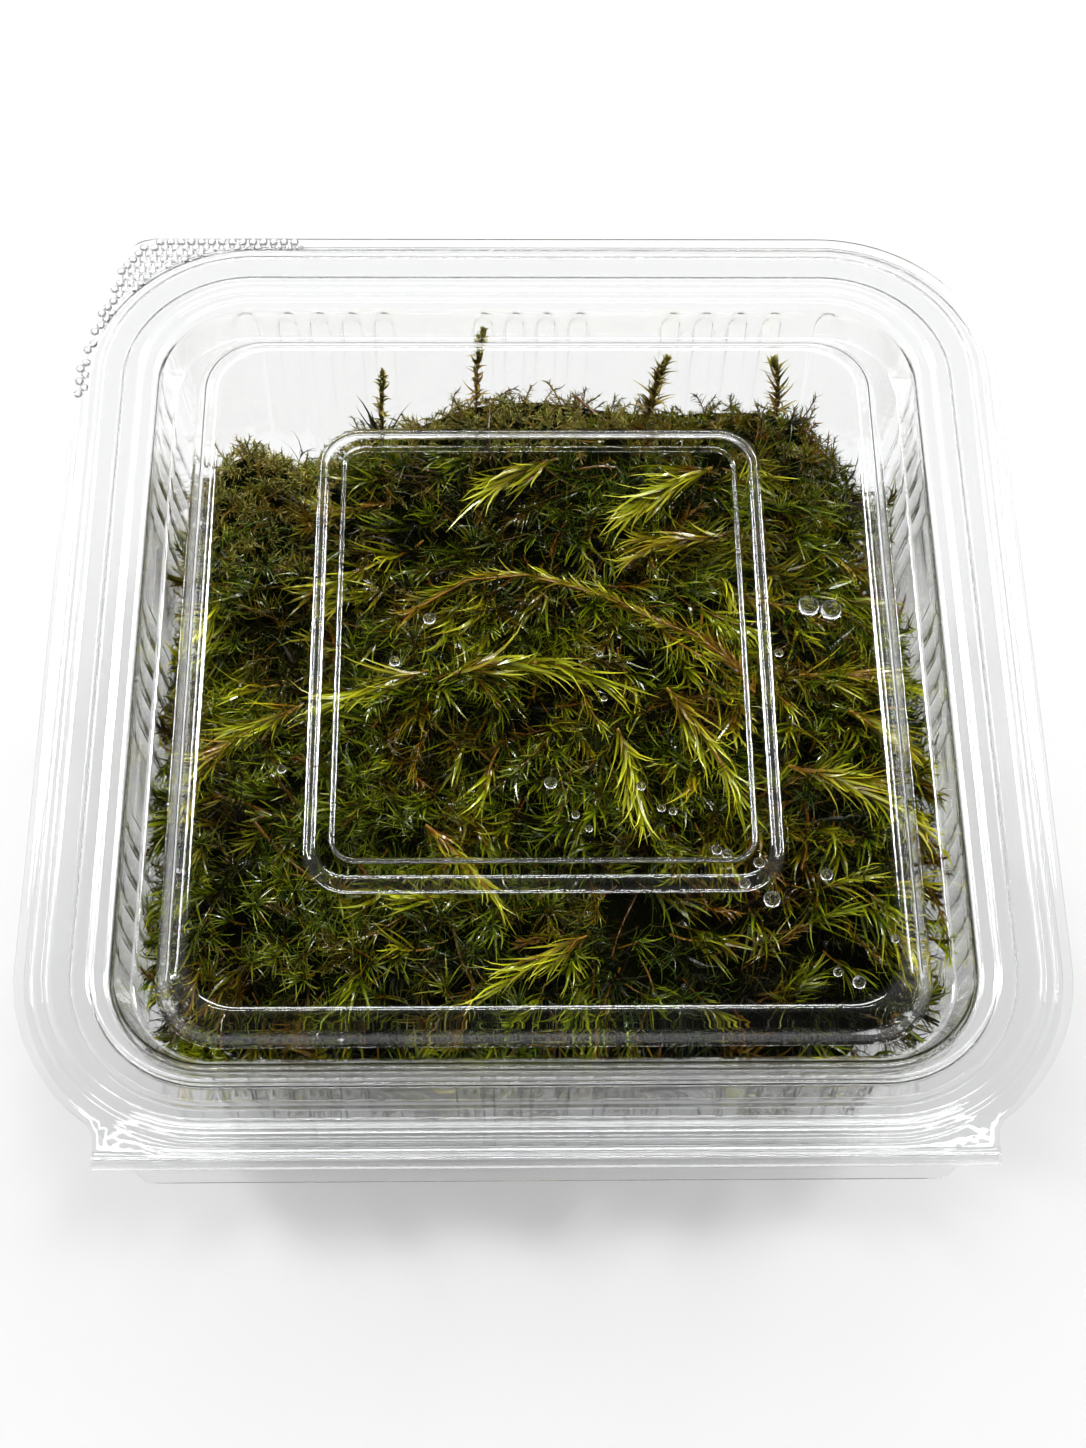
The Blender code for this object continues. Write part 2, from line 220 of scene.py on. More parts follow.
FLUTE_WIDTH = 3.9
FLUTE_SOFT = 0.55                # how wide the soft slope at a flute's side is
FLUTE_DEPTH = 0.7
FLUTE_ARCH = 5.0                 # how high a flute's round top is
FLUTE_TOP_Z = 42.3
SIDE_WALL_X = 52.0
SIDE_WALL_DEPTH = 0.3            # share of the depth in the side walls
BACK_FLUTES = (-40.3, -35.2, -30.0, -24.8, -8.7, -3.6, 1.5, 6.7, 21.7, 27.1, 32.6, 38.1)
SIDE_FLUTES = (47.5, 42.6, 37.8, 33.0, 28.2, 10.5, 5.8, 1.0, -4.2, -9.6, -24.2, -29.0,
               -33.8, -38.6, -43.4)
FRONT_FLUTES = (-42.0, -36.8, -31.6, -26.4, -10.4, -5.2, 0.0, 5.2, 10.4, 26.4, 31.6, 36.8,
                42.0)
CORNER_FLUTES = (6.5, 45.0, 83.5)            # degrees into each corner
CORNER_FLUTE_WIDTH = 4.9
print("lid outline:", 2 * HALF_WIDTH, "x", round(BACK_Y - HINGE_Y, 2), "mm, sheet", SHEET)


# %% [markdown]
# ### Rings
#
# A ring has points on each corner at even angles, and on each edge at chosen shares of its
# length. All rings of a shell have the same places, so rings can be joined point by point.

# %% Rings
def ring_size(inset, z, radius=None):
    """A ring moved in from the lid's outline: half width, front, back, radius, height."""
    own = CORNER_RADIUS - inset if radius is None else radius
    return (HALF_WIDTH - inset, HINGE_Y + inset, BACK_Y - inset, own, z)


def spots(edge_stops):
    """Where points sit round a ring: on each corner by angle, on each edge by share."""
    found = []
    for corner in range(4):
        for step in range(ARC_STEPS + 1):
            found.append((corner, 90.0 * step / ARC_STEPS, None))
        for share in edge_stops[corner]:
            found.append((corner, None, share))
    return found


def corner_centres(size):
    """The middle of each corner's arc: back right, back left, front left, front right."""
    half, front, back, radius, _ = size
    return ((half - radius, back - radius), (radius - half, back - radius),
            (radius - half, front + radius), (half - radius, front + radius))


def ring_points(size, places):
    """The points of a ring, in millimetres."""
    centres, radius, z = corner_centres(size), size[3], size[4]
    made = np.empty((len(places), 3))
    for i, (corner, degrees, share) in enumerate(places):
        x, y = centres[corner]
        angle = math.radians(90.0 * corner + (90.0 if degrees is None else degrees))
        point = (x + radius * math.cos(angle), y + radius * math.sin(angle))
        if share is not None:
            x, y = centres[(corner + 1) % 4]
            end = (x + radius * math.cos(angle), y + radius * math.sin(angle))
            point = tuple(a + (b - a) * share for a, b in zip(point, end))
        made[i] = (*point, z)
    return made


print("a ring without points on its edges has", len(spots([()] * 4)), "points")

# %% [markdown]
# ### Soft steps
#
# No bend of a formed sheet is sharp: the sheet flows round the mould's edge. A Bevel
# modifier would do it, but a bevel on such close loops overlaps. So the profile itself is
# rounded before the mesh exists: each ring is replaced by a small arc of rings. The two
# skins of the sheet are the profile moved out and in by half the sheet's thickness.

# %% Soft steps and the sheet's two skins
LONGEST_CUT = 0.42      # share of a step that its rounding may take up
LEAST_RADIUS = 0.3


def rounded(sizes, reach, steps=4, first=0):
    """Round the steps of a profile, leaving its rings before `first` as they are."""
    sizes = np.array(sizes, float)
    reaches = np.broadcast_to(reach, len(sizes))
    made = list(sizes[:max(first, 1)])
    for i in range(max(first, 1), len(sizes) - 1):
        corner = sizes[i]
        arms = [other - corner for other in (sizes[i - 1], sizes[i + 1])]
        spans = [np.linalg.norm(arm[[0, 4]]) for arm in arms]
        cut = min(reaches[i], LONGEST_CUT * spans[0], LONGEST_CUT * spans[1])
        start, end = (corner + arm * cut / span for arm, span in zip(arms, spans))
        beyond = [corner + arm * min(cut * 1.15, 0.49 * span) / span
                  for arm, span in zip(arms, spans)]
        made.append(beyond[0])
        for t in np.arange(steps + 1) / steps:
            made.append((1 - t) ** 2 * start + 2 * t * (1 - t) * corner + t * t * end)
        made.append(beyond[1])
    return np.array(made + [sizes[-1]])


def grown(sizes, distance):
    """Rings moved outward, and up, by a distance along the profile's normal."""
    along = np.gradient(sizes[:, (0, 4)], axis=0)
    along /= np.linalg.norm(along, axis=1, keepdims=True)
    outward, upward = -along[:, 1] * distance, along[:, 0] * distance
    made = sizes + np.stack([outward, -outward, outward, outward, upward], axis=1)
    made[:, 3] = np.maximum(made[:, 3], LEAST_RADIUS)
    return made


step_rings = rounded([ring_size(0.0, 5.0), ring_size(5.0, 5.0), ring_size(5.0, 0.0)], 0.9)
print("a square step is rounded with", len(step_rings), "rings")

# %% [markdown]
# ### One closed sheet
#
# The two skins are joined at the sheet's edge and capped in the middle, and that makes a
# closed thin body. Clear material needs it closed: light bends once going in and once
# coming out, and that draws the fine white and grey lines along every step.

# %% One closed sheet
def linked(name, data):
    """A new object in the scene."""
    made = bpy.data.objects.new(name, data)
    bpy.context.scene.collection.objects.link(made)
    return made


def mesh_of(name, points, faces, material=None, smooth=True):
    """A mesh from points in millimetres."""
    mesh = bpy.data.meshes.new(name)
    mesh.from_pydata((np.array(points, float) * MM).tolist(), [], faces)
    mesh.polygons.foreach_set("use_smooth", [smooth] * len(mesh.polygons))
    if material is not None:
        mesh.materials.append(material)
    mesh.update()
    return mesh


def triangles(made):
    """How many triangles a mesh object has."""
    return sum(len(face.vertices) - 2 for face in made.data.polygons)


def lets_light_in(made):
    """Let light straight through a clear piece onto what is under it.

    A ray tracer counts clear sheet as solid when it looks for a light, so a box would
    shade its own moss far more than the thin sheet does.
    """
    made.visible_shadow = False
    made.visible_diffuse = False
    return made


def shell_mesh(name, sizes, places, edge, flute=None):
    """A closed thin sheet over a stack of rings, of which the outermost is `edge`."""
    skins = []
    for side in (0.5, -0.5):
        moved = grown(sizes, side * SHEET)
        rows = np.array([ring_points(size, places) for size in moved])
        if flute is not None:
            wider = moved + (1.0, -1.0, 1.0, 1.0, 0.0)
            outward = np.array([ring_points(size, places) for size in wider]) - rows
            rows = rows + outward * flute(rows)[..., None]
        rows[0] = edge + (0.0, 0.0, moved[0][4] - sizes[0][4])
        skins.append(rows)
    count, points = len(sizes), len(places)
    half = count * points
    faces = []
    for row in range(count - 1):
        for i in range(points):
            j = (i + 1) % points
            a, b = row * points, (row + 1) * points
            faces.append((a + i, a + j, b + j, b + i))
            faces.append((half + b + i, half + b + j, half + a + j, half + a + i))
    faces += [(half + i, half + (i + 1) % points, (i + 1) % points, i) for i in range(points)]
    last = half - points
    faces.append(tuple(range(last, half)))
    faces.append(tuple(reversed(range(half + last, half + half))))
    mesh = mesh_of(name, np.concatenate(skins).reshape(-1, 3), faces, clear)
    sheet = bmesh.new()
    sheet.from_mesh(mesh)
    bmesh.ops.recalc_face_normals(sheet, faces=sheet.faces)
    sheet.to_mesh(mesh)
    sheet.free()
    mesh.set_sharp_from_angle(angle=math.radians(40))
    return lets_light_in(linked(name, mesh))


# %% [markdown]
# ### Edges with a tab, ears and a lip
#
# The lid's flange isn't a plain rounded square. At the back left it reaches out to a
# slanted tab for the fingers, and in front it keeps square ears beside the fold. The
# tray's flange has a lip below the fold. These could be added as flat plates, but plates
# would show a seam. Instead the corner points of the outermost ring are pushed out along
# their own angles until they meet the straight lines of the real outline.

# %% Edges that aren't plain rings
def cut_distance(centre, angle, lines):
    """Distance from a centre, along an angle, to the nearest of some lines."""
    direction = np.array((math.cos(angle), math.sin(angle)))
    best = math.inf
    for point, other in lines:
        point, other = np.array(point, float), np.array(other, float)
        normal = np.array((other[1] - point[1], point[0] - other[0]))
        facing = direction @ normal
        if abs(facing) > 1e-9:
            distance = (point - centre) @ normal / facing
            if distance > 0:
                best = min(best, distance)
    return best


TAB_LINES = (((0, BACK_Y), (1, BACK_Y)), ((-62.9, 77.95), (-66.1, 75.9)),
             ((-66.1, 75.9), (-72.4, 53.0)), ((-HALF_WIDTH, 0), (-HALF_WIDTH, 1)))
EAR_X = 59.9
LIP_Y = -77.7
LIP_CUT = 130.5
LIP_DROP = 1.7
DROP_START, DROP_RUN = 71.5, 5.1        # in front of the box's middle


def reshaped_edge(size, places, reach):
    """A ring whose corners reach out to lines of their own."""
    points, centres, radius = ring_points(size, places), corner_centres(size), size[3]
    for i, (corner, degrees, share) in enumerate(places):
        if share is None:
            x, y = centres[corner]
            angle = math.radians(90.0 * corner + degrees)
            distance = reach(corner, angle, np.array((x, y)), radius)
            points[i, :2] = (x + distance * math.cos(angle), y + distance * math.sin(angle))
    return points


def lid_reach(corner, angle, centre, radius):
    """The lid's edge: the grip tab at the back left, an ear at each end of the hinge."""
    if corner == 1:
        return cut_distance(centre, angle, TAB_LINES)
    if corner in (2, 3):
        side = EAR_X if corner == 3 else -EAR_X
        return max(radius, cut_distance(centre, angle, (((0, HINGE_Y), (1, HINGE_Y)),
                                                        ((side, 0), (side, 1)))))
    return radius


def tray_reach(corner, angle, centre, radius):
    """The tray's edge: plain corners, and a lip with slanted ends in front."""
    if -math.sin(angle) <= abs(math.cos(angle)):
        return radius
    side = 1 if corner == 3 else -1
    return max(radius, cut_distance(centre, angle, (((0, LIP_Y), (1, LIP_Y)),
                                                    ((0, -LIP_CUT), (side, 1 - LIP_CUT)))))


def rising(values, start, run):
    """0 up to a start, then rising to 1 within a run."""
    return np.clip((values - start) / run, 0, 1)


def eased(height, share):
    """A share of a height, with soft ends."""
    return height * share * share * (3 - 2 * share)


def tray_edge(size, places):
    """The tray's edge ring, dropped in front, with its lip."""
    points = reshaped_edge(size, places, tray_reach)
    front = [corner == 2 and share is not None for corner, degrees, share in places]
    points[front, 1] = LIP_Y
    points[:, 2] -= eased(LIP_DROP, rising(-points[:, 1], DROP_START, DROP_RUN))
    return points


tab_centre = np.array(corner_centres(ring_size(0.0, LID_FLANGE_Z))[1])
tab_reach = lid_reach(1, math.radians(140.0), tab_centre, CORNER_RADIUS)
print("a plain corner reaches", CORNER_RADIUS, "mm, the tab", round(float(tab_reach), 1))

# %% [markdown]
# ### Flutes
#
# Flutes are shallow upright grooves with round tops, and each corner has three of them. A
# boolean cut for each one would leave ragged faces on so thin a sheet. A displacement by a
# formula keeps the rings: every point of the wall is pushed outwards if it lies within a
# flute, and it is pushed less towards the tray's floor, where the mould was shallower.

# %% Flutes in the tray's walls
STRAIGHT_X = HALF_WIDTH - CORNER_RADIUS
STRAIGHT_BACK, STRAIGHT_FRONT = BACK_Y - CORNER_RADIUS, HINGE_Y + CORNER_RADIUS
WALLS = ((BACK_FLUTES, STRAIGHT_X, -STRAIGHT_X), (SIDE_FLUTES, STRAIGHT_BACK, STRAIGHT_FRONT),
         (FRONT_FLUTES, -STRAIGHT_X, STRAIGHT_X), (SIDE_FLUTES, STRAIGHT_FRONT, STRAIGHT_BACK))
FLUTE_HALF = FLUTE_WIDTH / 2
FROM_CORNER = (0.3, 0.6, 0.9, 1.4)      # extra points near the ends of a straight wall
MID_WALL_INSET = 13.5


def flute_stops(centres, start, end):
    """Shares along an edge where a fluted wall needs points."""
    inner, slope = FLUTE_HALF - FLUTE_SOFT, FLUTE_HALF - FLUTE_SOFT / 2
    steps = (-FLUTE_HALF, -slope, -inner, 0.0, inner, slope, FLUTE_HALF)
    shares = [((centre + step) - start) / (end - start) for centre in centres for step in steps]
    shares += [abs(edge - near / abs(end - start)) for edge in (0.0, 1.0)
               for near in FROM_CORNER]
    return [share for share in sorted(shares) if 0.002 < share < 0.998]


def from_flute(places):
    """For each place round the ring, how far it is from the middle of the nearest flute."""
    wall_radius = CORNER_RADIUS - MID_WALL_INSET
    narrower = FLUTE_WIDTH / CORNER_FLUTE_WIDTH
    first = math.radians(CORNER_FLUTES[0]) * wall_radius
    away = []
    for corner, degrees, share in places:
        if share is None:
            nearest = min(abs(math.radians(degrees - c)) for c in CORNER_FLUTES)
            away.append(nearest * wall_radius * narrower)
        else:
            centres, start, end = WALLS[corner]
            here = start + (end - start) * share
            from_corner = min(abs(here - start), abs(here - end)) + first
            away.append(min(from_corner * narrower, min(abs(here - c) for c in centres)))
    return np.array(away)


FLUTE_FOOT, FLUTE_BODY = (1.5, 3.0), (26.0, 12.0)       # heights where flutes deepen, and runs
LOW_DEPTH = 0.4                                         # share of the depth below the body
tray_places = spots([flute_stops(*wall) for wall in WALLS])
tray_away = from_flute(tray_places)


def flute_depth(rows):
    """How far each point of the wall is pushed out by the flutes, in millimetres."""
    z = rows[..., 2]
    over = np.maximum(z - (FLUTE_TOP_Z - FLUTE_ARCH), 0.0) * FLUTE_HALF / FLUTE_ARCH
    share = np.clip((FLUTE_HALF - np.hypot(tray_away[None, :], over)) / FLUTE_SOFT, 0, 1)
    fade = rising(z, *FLUTE_FOOT) * (LOW_DEPTH + (1 - LOW_DEPTH) * rising(z, *FLUTE_BODY))
    fade = fade * np.where(np.abs(rows[..., 0]) > SIDE_WALL_X, SIDE_WALL_DEPTH, 1.0)
    return eased(FLUTE_DEPTH, share) * fade


print("fluted wall:", len(tray_places), "points round, of which in flutes:",
      int(np.sum(tray_away < FLUTE_HALF)))

# %% [markdown]
# ### The tray
#
# From outside to inside: the flange, the bead that the lid snaps over, the wall with its
# flutes, a foot that curves in, and the floor. The wall gets extra rings near its top,
# because the flutes' round tops need points there and the plain wall below doesn't.

# %% Tray
WALL_TOP_INSET, WALL_TOP_Z = 12.7, 43.0
WALL_LEAN, WALL_HEIGHT = 2.7, 38.4


def wall_inset(z):
    """How far in from the lid's outline the tray's wall is at a height."""
    return WALL_TOP_INSET + WALL_LEAN * (WALL_TOP_Z - z) / WALL_HEIGHT


TRAY_PROFILE = [ring_size(*pair) for pair in
                ((1.3, 43.6), (2.4, 43.6), (7.2, 43.6), (7.7, 44.3), (9.9, 44.3),
                 (10.4, 43.6), (11.9, 43.6), (WALL_TOP_INSET, WALL_TOP_Z), (15.4, 4.6),
                 (16.1, 2.0), (17.6, 0.7), (19.4, 0.25), (26.0, 0.25))]
tray_rows = rounded(TRAY_PROFILE, 0.9, steps=3, first=2)
WALL_RINGS = (42.3, 42.1, 41.8, 41.4, 41.0, 40.5, 40.0, 39.4, 38.6, 37.4, 30.0, 20.0, 10.0)
upper = [row for row in tray_rows if row[4] > 42.35]
wall = [ring_size(wall_inset(z), z) for z in WALL_RINGS]
lower = [row for row in tray_rows if row[4] < 9.0]
tray_rows = np.vstack([upper, wall, lower])
tray = shell_mesh("box_tray", tray_rows, tray_places,
                  edge=tray_edge(tray_rows[0], tray_places), flute=flute_depth)
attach(tray, "tray_body")
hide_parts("tray")
print("box_tray:", triangles(tray), "triangles")

# %% [markdown]
# ### The lid
#
# The lid goes out over the tray's bead, dips into a gutter inside it, rises to a plateau,
# and carries a square raised frame. It is the same kind of stack as the tray, so the same
# maker forms it, with rings of their own radius where the corners get tighter.

# %% Lid
LID_PROFILE = [ring_size(*triple) for triple in
               ((0.0, 44.5), (2.0, 44.5), (2.6, 44.9), (3.8, 44.9), (4.7, 45.7), (9.8, 45.7),
                (10.7, 44.95), (12.3, 44.8), (13.1, 44.1), (15.0, 39.1, 12.0),
                (15.6, 38.8, 11.4))]
LID_PROFILE += [(53.8, -57.85, 61.35, 9.2, 38.8), (53.4, -57.4, 60.9, 9.0, 39.2),
                (52.55, -56.75, 59.92, 8.85, 40.7), (52.1, -55.8, 59.4, 8.7, 41.5),
                (50.0, -54.25, 57.5, 8.0, 42.8),
                (33.7, -36.4, 41.2, 6.2, 42.8), (32.4, -34.7, 39.9, 5.0, 43.7),
                (30.2, -32.3, 37.9, 3.6, 43.7), (29.7, -31.8, 37.4, 3.2, 43.25),
                (26.0, -28.1, 33.7, 3.0, 43.25)]
lid_places = spots([[(i + 1) / 9 for i in range(8)]] * 4)
PLATEAU_CORNER = 15      # the one step of the lid that is rounder than the others
lid_reaches = np.full(len(LID_PROFILE), 0.6)
lid_reaches[PLATEAU_CORNER] = 1.0
lid_rows = rounded(LID_PROFILE, lid_reaches, first=2)
lid = shell_mesh("box_lid", lid_rows, lid_places,
                 edge=reshaped_edge(lid_rows[0], lid_places, lid_reach))
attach(lid, "lid_body")
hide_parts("lid")
print("box_lid:", triangles(lid), "triangles")

# %% [markdown]
# ## Moss shoots
#
# A moss shoot is a thin rusty stem with narrow, pointed leaves that wind round it. First
# come the path that a shoot follows, and its stem. A curve object with a bevel could be
# the stem, but there are thousands of stems, and a three-sided tube of a few faces is
# enough where leaves cover it.

# %% Paths and stems
STEM_SIDES = 3


def smooth_path(points, count):
    """Evenly spread places along a smooth curve through some points."""
    points = np.array(points, float)
    ends = np.vstack([2 * points[0] - points[1], points, 2 * points[-1] - points[-2]])
    made = []
    for position in np.linspace(0, len(points) - 1, count):
        span = min(int(position), len(points) - 2)
        t = position - span
        a, b, c, d = ends[span:span + 4]
        made.append(0.5 * (2 * b + (c - a) * t + (2 * a - 5 * b + 4 * c - d) * t * t
                           + (3 * b - a - 3 * c + d) * t ** 3))
    return np.array(made)


def unit(vectors):
    """Vectors made one long."""
    return vectors / np.maximum(np.linalg.norm(vectors, axis=-1, keepdims=True), 1e-9)


def stem_tube(path, radius):
    """A thin open tube along a path: its vertices and faces."""
    rings = path[::max(1, len(path) // 6)]
    along = np.gradient(rings, axis=0)
    side = unit(np.cross(along, (0.13, 0.21, 1.0)))
    up = unit(np.cross(side, along))
    count = len(rings)
    walls = []
    for k in range(STEM_SIDES):
        turn = 2 * math.pi * k / STEM_SIDES
        walls.append(rings + radius * (side * math.cos(turn) + up * math.sin(turn)))
    faces = []
    for k in range(STEM_SIDES):
        a, b = k * count, ((k + 1) % STEM_SIDES) * count
        faces += [(a + i, b + i, b + i + 1, a + i + 1) for i in range(count - 1)]
    return np.vstack(walls), faces


some_path = smooth_path([(0, 0, 0), (5, 0, 1), (9, 2, 1)], 13)
print("the stem of a short shoot has", len(stem_tube(some_path, 0.2)[1]), "faces")

# %% [markdown]
# ### Leaves
#
# Each leaf could be a particle hair, but hairs are lost on export, so a leaf is a ribbon of
# a few faces: it starts away from the stem, bends, and ends in a point. Real leaves follow
# each other round the stem by about 137.5 degrees, which keeps them from shading each
# other, and the same angle is used here. One maker grows all shoots, and its settings
# decide whether a shoot looks like a brush, a feather or a wisp.

# %% Leaves on a path
GOLDEN = math.radians(137.5)
LEAF_STOPS = np.array((0.0, 0.22, 0.47, 0.74, 1.0))     # shares of a leaf's length
LEAF_SHAPE = np.array((1.0, 0.95, 0.7, 0.42))           # shares of its width there
LEAF_POINTS = 2 * len(LEAF_SHAPE) + 1
# How much single leaves stray: turn, twist and drift in radians or shares, opening in degrees
TURN_STRAY, OPENING_STRAY, DRIFT_STRAY, TWIST_STRAY, AGE_STRAY = 0.35, 8, 0.14, 0.6, 0.14


def shifted(faces, base):
    """Faces whose points come after `base` other points."""
    return [tuple(base + i for i in face) for face in faces]


def leafy(path, rng, leaves, length, width, open_low, open_high, bend, stem=0.2, start=0.0,
          age=(0.9, 0.0), ragged=0.25, sweep=0.0, curl=0.12, taper=0.28):
    """A shoot along a path, in millimetres: vertices, faces, and attributes by vertex.

    open_low and open_high are how far leaves stand off the stem at its foot and end, in
    degrees, and bend is how much of that they lose along the leaf. sweep pulls every
    leaf's end over to one side, curl hooks each one its own way, and taper shortens them
    towards the shoot's end.
    """
    tangents = unit(np.gradient(path, axis=0))
    sideways = unit(np.cross(tangents, (0.13, 0.21, 1.0)))
    upward = np.cross(sideways, tangents)
    shares = start + (1 - start) * (np.arange(leaves) + rng.random(leaves)) / leaves
    positions = shares * (len(path) - 1)
    low = np.minimum(positions.astype(int), len(path) - 2)
    part = (positions - low)[:, None]

    def along_path(values):
        return values[low] * (1 - part) + values[low + 1] * part

    foot, axis = along_path(path), unit(along_path(tangents))
    side, up = unit(along_path(sideways)), unit(along_path(upward))
    turn = GOLDEN * np.arange(leaves) + rng.normal(0, TURN_STRAY, leaves)
    radial = side * np.cos(turn)[:, None] + up * np.sin(turn)[:, None]
    across = np.cross(axis, radial)
    opening = np.radians(open_low + (open_high - open_low) * shares
                         + rng.normal(0, OPENING_STRAY, leaves))
    sizes = length * (1 + ragged * rng.normal(0, 1, leaves)).clip(0.4, 1.5)
    sizes *= 1.0 - taper * shares ** 2
    drift = rng.normal(0, DRIFT_STRAY, (leaves, 1)) * across
    drift = drift + sweep * (0.6 * side - 0.8 * up)
    hook = rng.normal(0, curl, (leaves, 1)) * across
    hook = hook + rng.normal(0, curl, (leaves, 1)) * radial
    spine = [foot]
    for t0, t1 in zip(LEAF_STOPS, LEAF_STOPS[1:]):
        angle = (opening * (1 - bend * (t0 + t1) / 2))[:, None]
        step = axis * np.cos(angle) + radial * np.sin(angle) + drift * (t0 + t1)
        step += hook * (t0 + t1) ** 2
        spine.append(spine[-1] + unit(step) * (sizes * (t1 - t0))[:, None])
    twist = rng.normal(0, TWIST_STRAY, leaves)[:, None]
    flat = unit(across * np.cos(twist) + radial * np.sin(twist))
    rows = []
    for place, shape in zip(spine, LEAF_SHAPE):
        half = flat * width * shape / 2
        rows += [place - half, place + half]
    rows.append(spine[-1])
    vertices = np.stack(rows, axis=1).reshape(-1, 3)
    faces = []
    for i in range(leaves):
        b = LEAF_POINTS * i
        faces += [(b + k, b + k + 1, b + k + 3, b + k + 2) for k in (0, 2, 4)]
        faces.append((b + 6, b + 7, b + 8))
    along = np.tile(np.repeat(LEAF_STOPS, (2, 2, 2, 2, 1)), leaves)
    leaf_age = age[0] + (age[1] - age[0]) * np.minimum(shares * 1.6, 1.0)
    leaf_age = (leaf_age + rng.normal(0, AGE_STRAY, leaves)).clip(0, 1)
    ages = np.repeat(leaf_age, LEAF_POINTS)
    if stem:
        walls, tube_faces = stem_tube(path, stem)
        faces += shifted(tube_faces, len(vertices))
        vertices = np.vstack([vertices, walls])
        along = np.append(along, np.full(len(walls), 0.5))
        ages = np.append(ages, np.ones(len(walls)))
    return vertices, faces, along, ages


print("a leaf has", LEAF_POINTS, "points and", len(LEAF_SHAPE), "faces")

# %% [markdown]
# ### From numbers to a mesh
#
# A shoot is only arrays of numbers so far. One helper turns several shoots into one mesh
# and stores `along`, `age` and `tint` on its points, where the material reads them.

# %% One mesh from several shoots
def store(mesh, label, values):
    """Write a number or a vector for each point of a mesh."""
    values = np.array(values, np.float32)
    kind, field = ("FLOAT", "value") if values.ndim == 1 else ("FLOAT_VECTOR", "vector")
    layer = mesh.attributes.new(label, kind, "POINT")
    layer.data.foreach_set(field, values.ravel())


def moss_mesh(name, shoots, material, tint=None):
    """One mesh from several shoots, with its attributes.

    A shoot that will be scattered gets its tint from the scatter, and any other here.
    """
    points, faces = [], []
    for shoot_points, shoot_faces, _, _ in shoots:
        faces += shifted(shoot_faces, sum(len(other) for other in points))
        points.append(shoot_points)
    mesh = mesh_of(name, np.concatenate(points), faces, material)
    store(mesh, "along", np.concatenate([shoot[2] for shoot in shoots]))
    store(mesh, "age", np.concatenate([shoot[3] for shoot in shoots]))
    if tint is not None:
        store(mesh, "tint", np.full(len(mesh.vertices), tint))
    return mesh


# %% [markdown]
# ### Kinds of shoot
#
# Seen close, the clump isn't one plant: there are swept brushes, feathery shoots, small
# stars, thin wisps, old woolly stems, and short fuzz where it is old. A few shoots of each
# kind are enough, because every copy is turned, leaned and sized at random later. They
# stay out of the scene, in collections that the scatter picks from.

# %% Kinds of short shoot
def arc_path(length, rise, drift, count=9):
    """A path that starts along +X and bends up and sideways."""
    u = np.linspace(0, 1, count)
    return np.stack([length * u, drift * u * u, rise * u * u * (1.4 - 0.4 * u)], axis=1)


def shoot_kinds(name, material, seed, recipes):
    """A collection of shoot meshes to scatter."""
    rng = np.random.default_rng(seed)
    kinds = bpy.data.collections.new(name)
    for i, (length, rise, drift, look) in enumerate(recipes):
        shoot = leafy(arc_path(length, rise, drift), rng, **look)
        made = bpy.data.objects.new(f"{name}_{i}", moss_mesh(f"{name}_{i}", [shoot], material))
        kinds.objects.link(made)
    return kinds


BRUSH = {"leaves": 18, "length": 8.0, "width": 0.56, "open_low": 44, "open_high": 12,
         "bend": 0.2, "start": 0.35, "age": (0.7, 0.0), "sweep": 0.34, "curl": 0.15}
FAN = {"leaves": 16, "length": 7.4, "width": 0.48, "open_low": 56, "open_high": 20,
       "bend": -0.1, "start": 0.5, "age": (0.7, 0.0), "sweep": -0.36, "curl": 0.18}
FEATHER = {"leaves": 40, "length": 4.2, "width": 0.38, "open_low": 58, "open_high": 24,
           "bend": 0.2, "start": 0.05, "age": (1.0, 0.1), "sweep": 0.36, "curl": 0.2}
STAR = {"leaves": 20, "length": 4.8, "width": 0.27, "open_low": 85, "open_high": 30,
        "bend": -0.3, "start": 0.55, "age": (0.4, 0.0), "sweep": 0.12, "curl": 0.24}
WISP = {"leaves": 20, "length": 5.6, "width": 0.20, "open_low": 78, "open_high": 38,
        "bend": -0.4, "start": 0.1, "age": (0.4, 0.0), "ragged": 0.35, "sweep": 0.45,
        "curl": 0.35, "stem": 0.1}
WOOLLY = {"leaves": 44, "length": 2.4, "width": 0.26, "open_low": 75, "open_high": 40,
          "bend": -0.4, "age": (1.0, 0.6), "ragged": 0.4, "sweep": 0.2,
          "curl": 0.4, "stem": 0.3}
FUZZ = {"leaves": 22, "length": 1.6, "width": 0.24, "open_low": 75, "open_high": 35,
        "bend": -0.3, "age": (0.6, 0.0), "ragged": 0.4, "sweep": 0.1,
        "curl": 0.4, "stem": 0.12}
FUZZY = ((3.5, 0.4, 0.6, FUZZ), (3, 0.5, -0.6, FUZZ), (4, 0.3, 0.8, FUZZ))
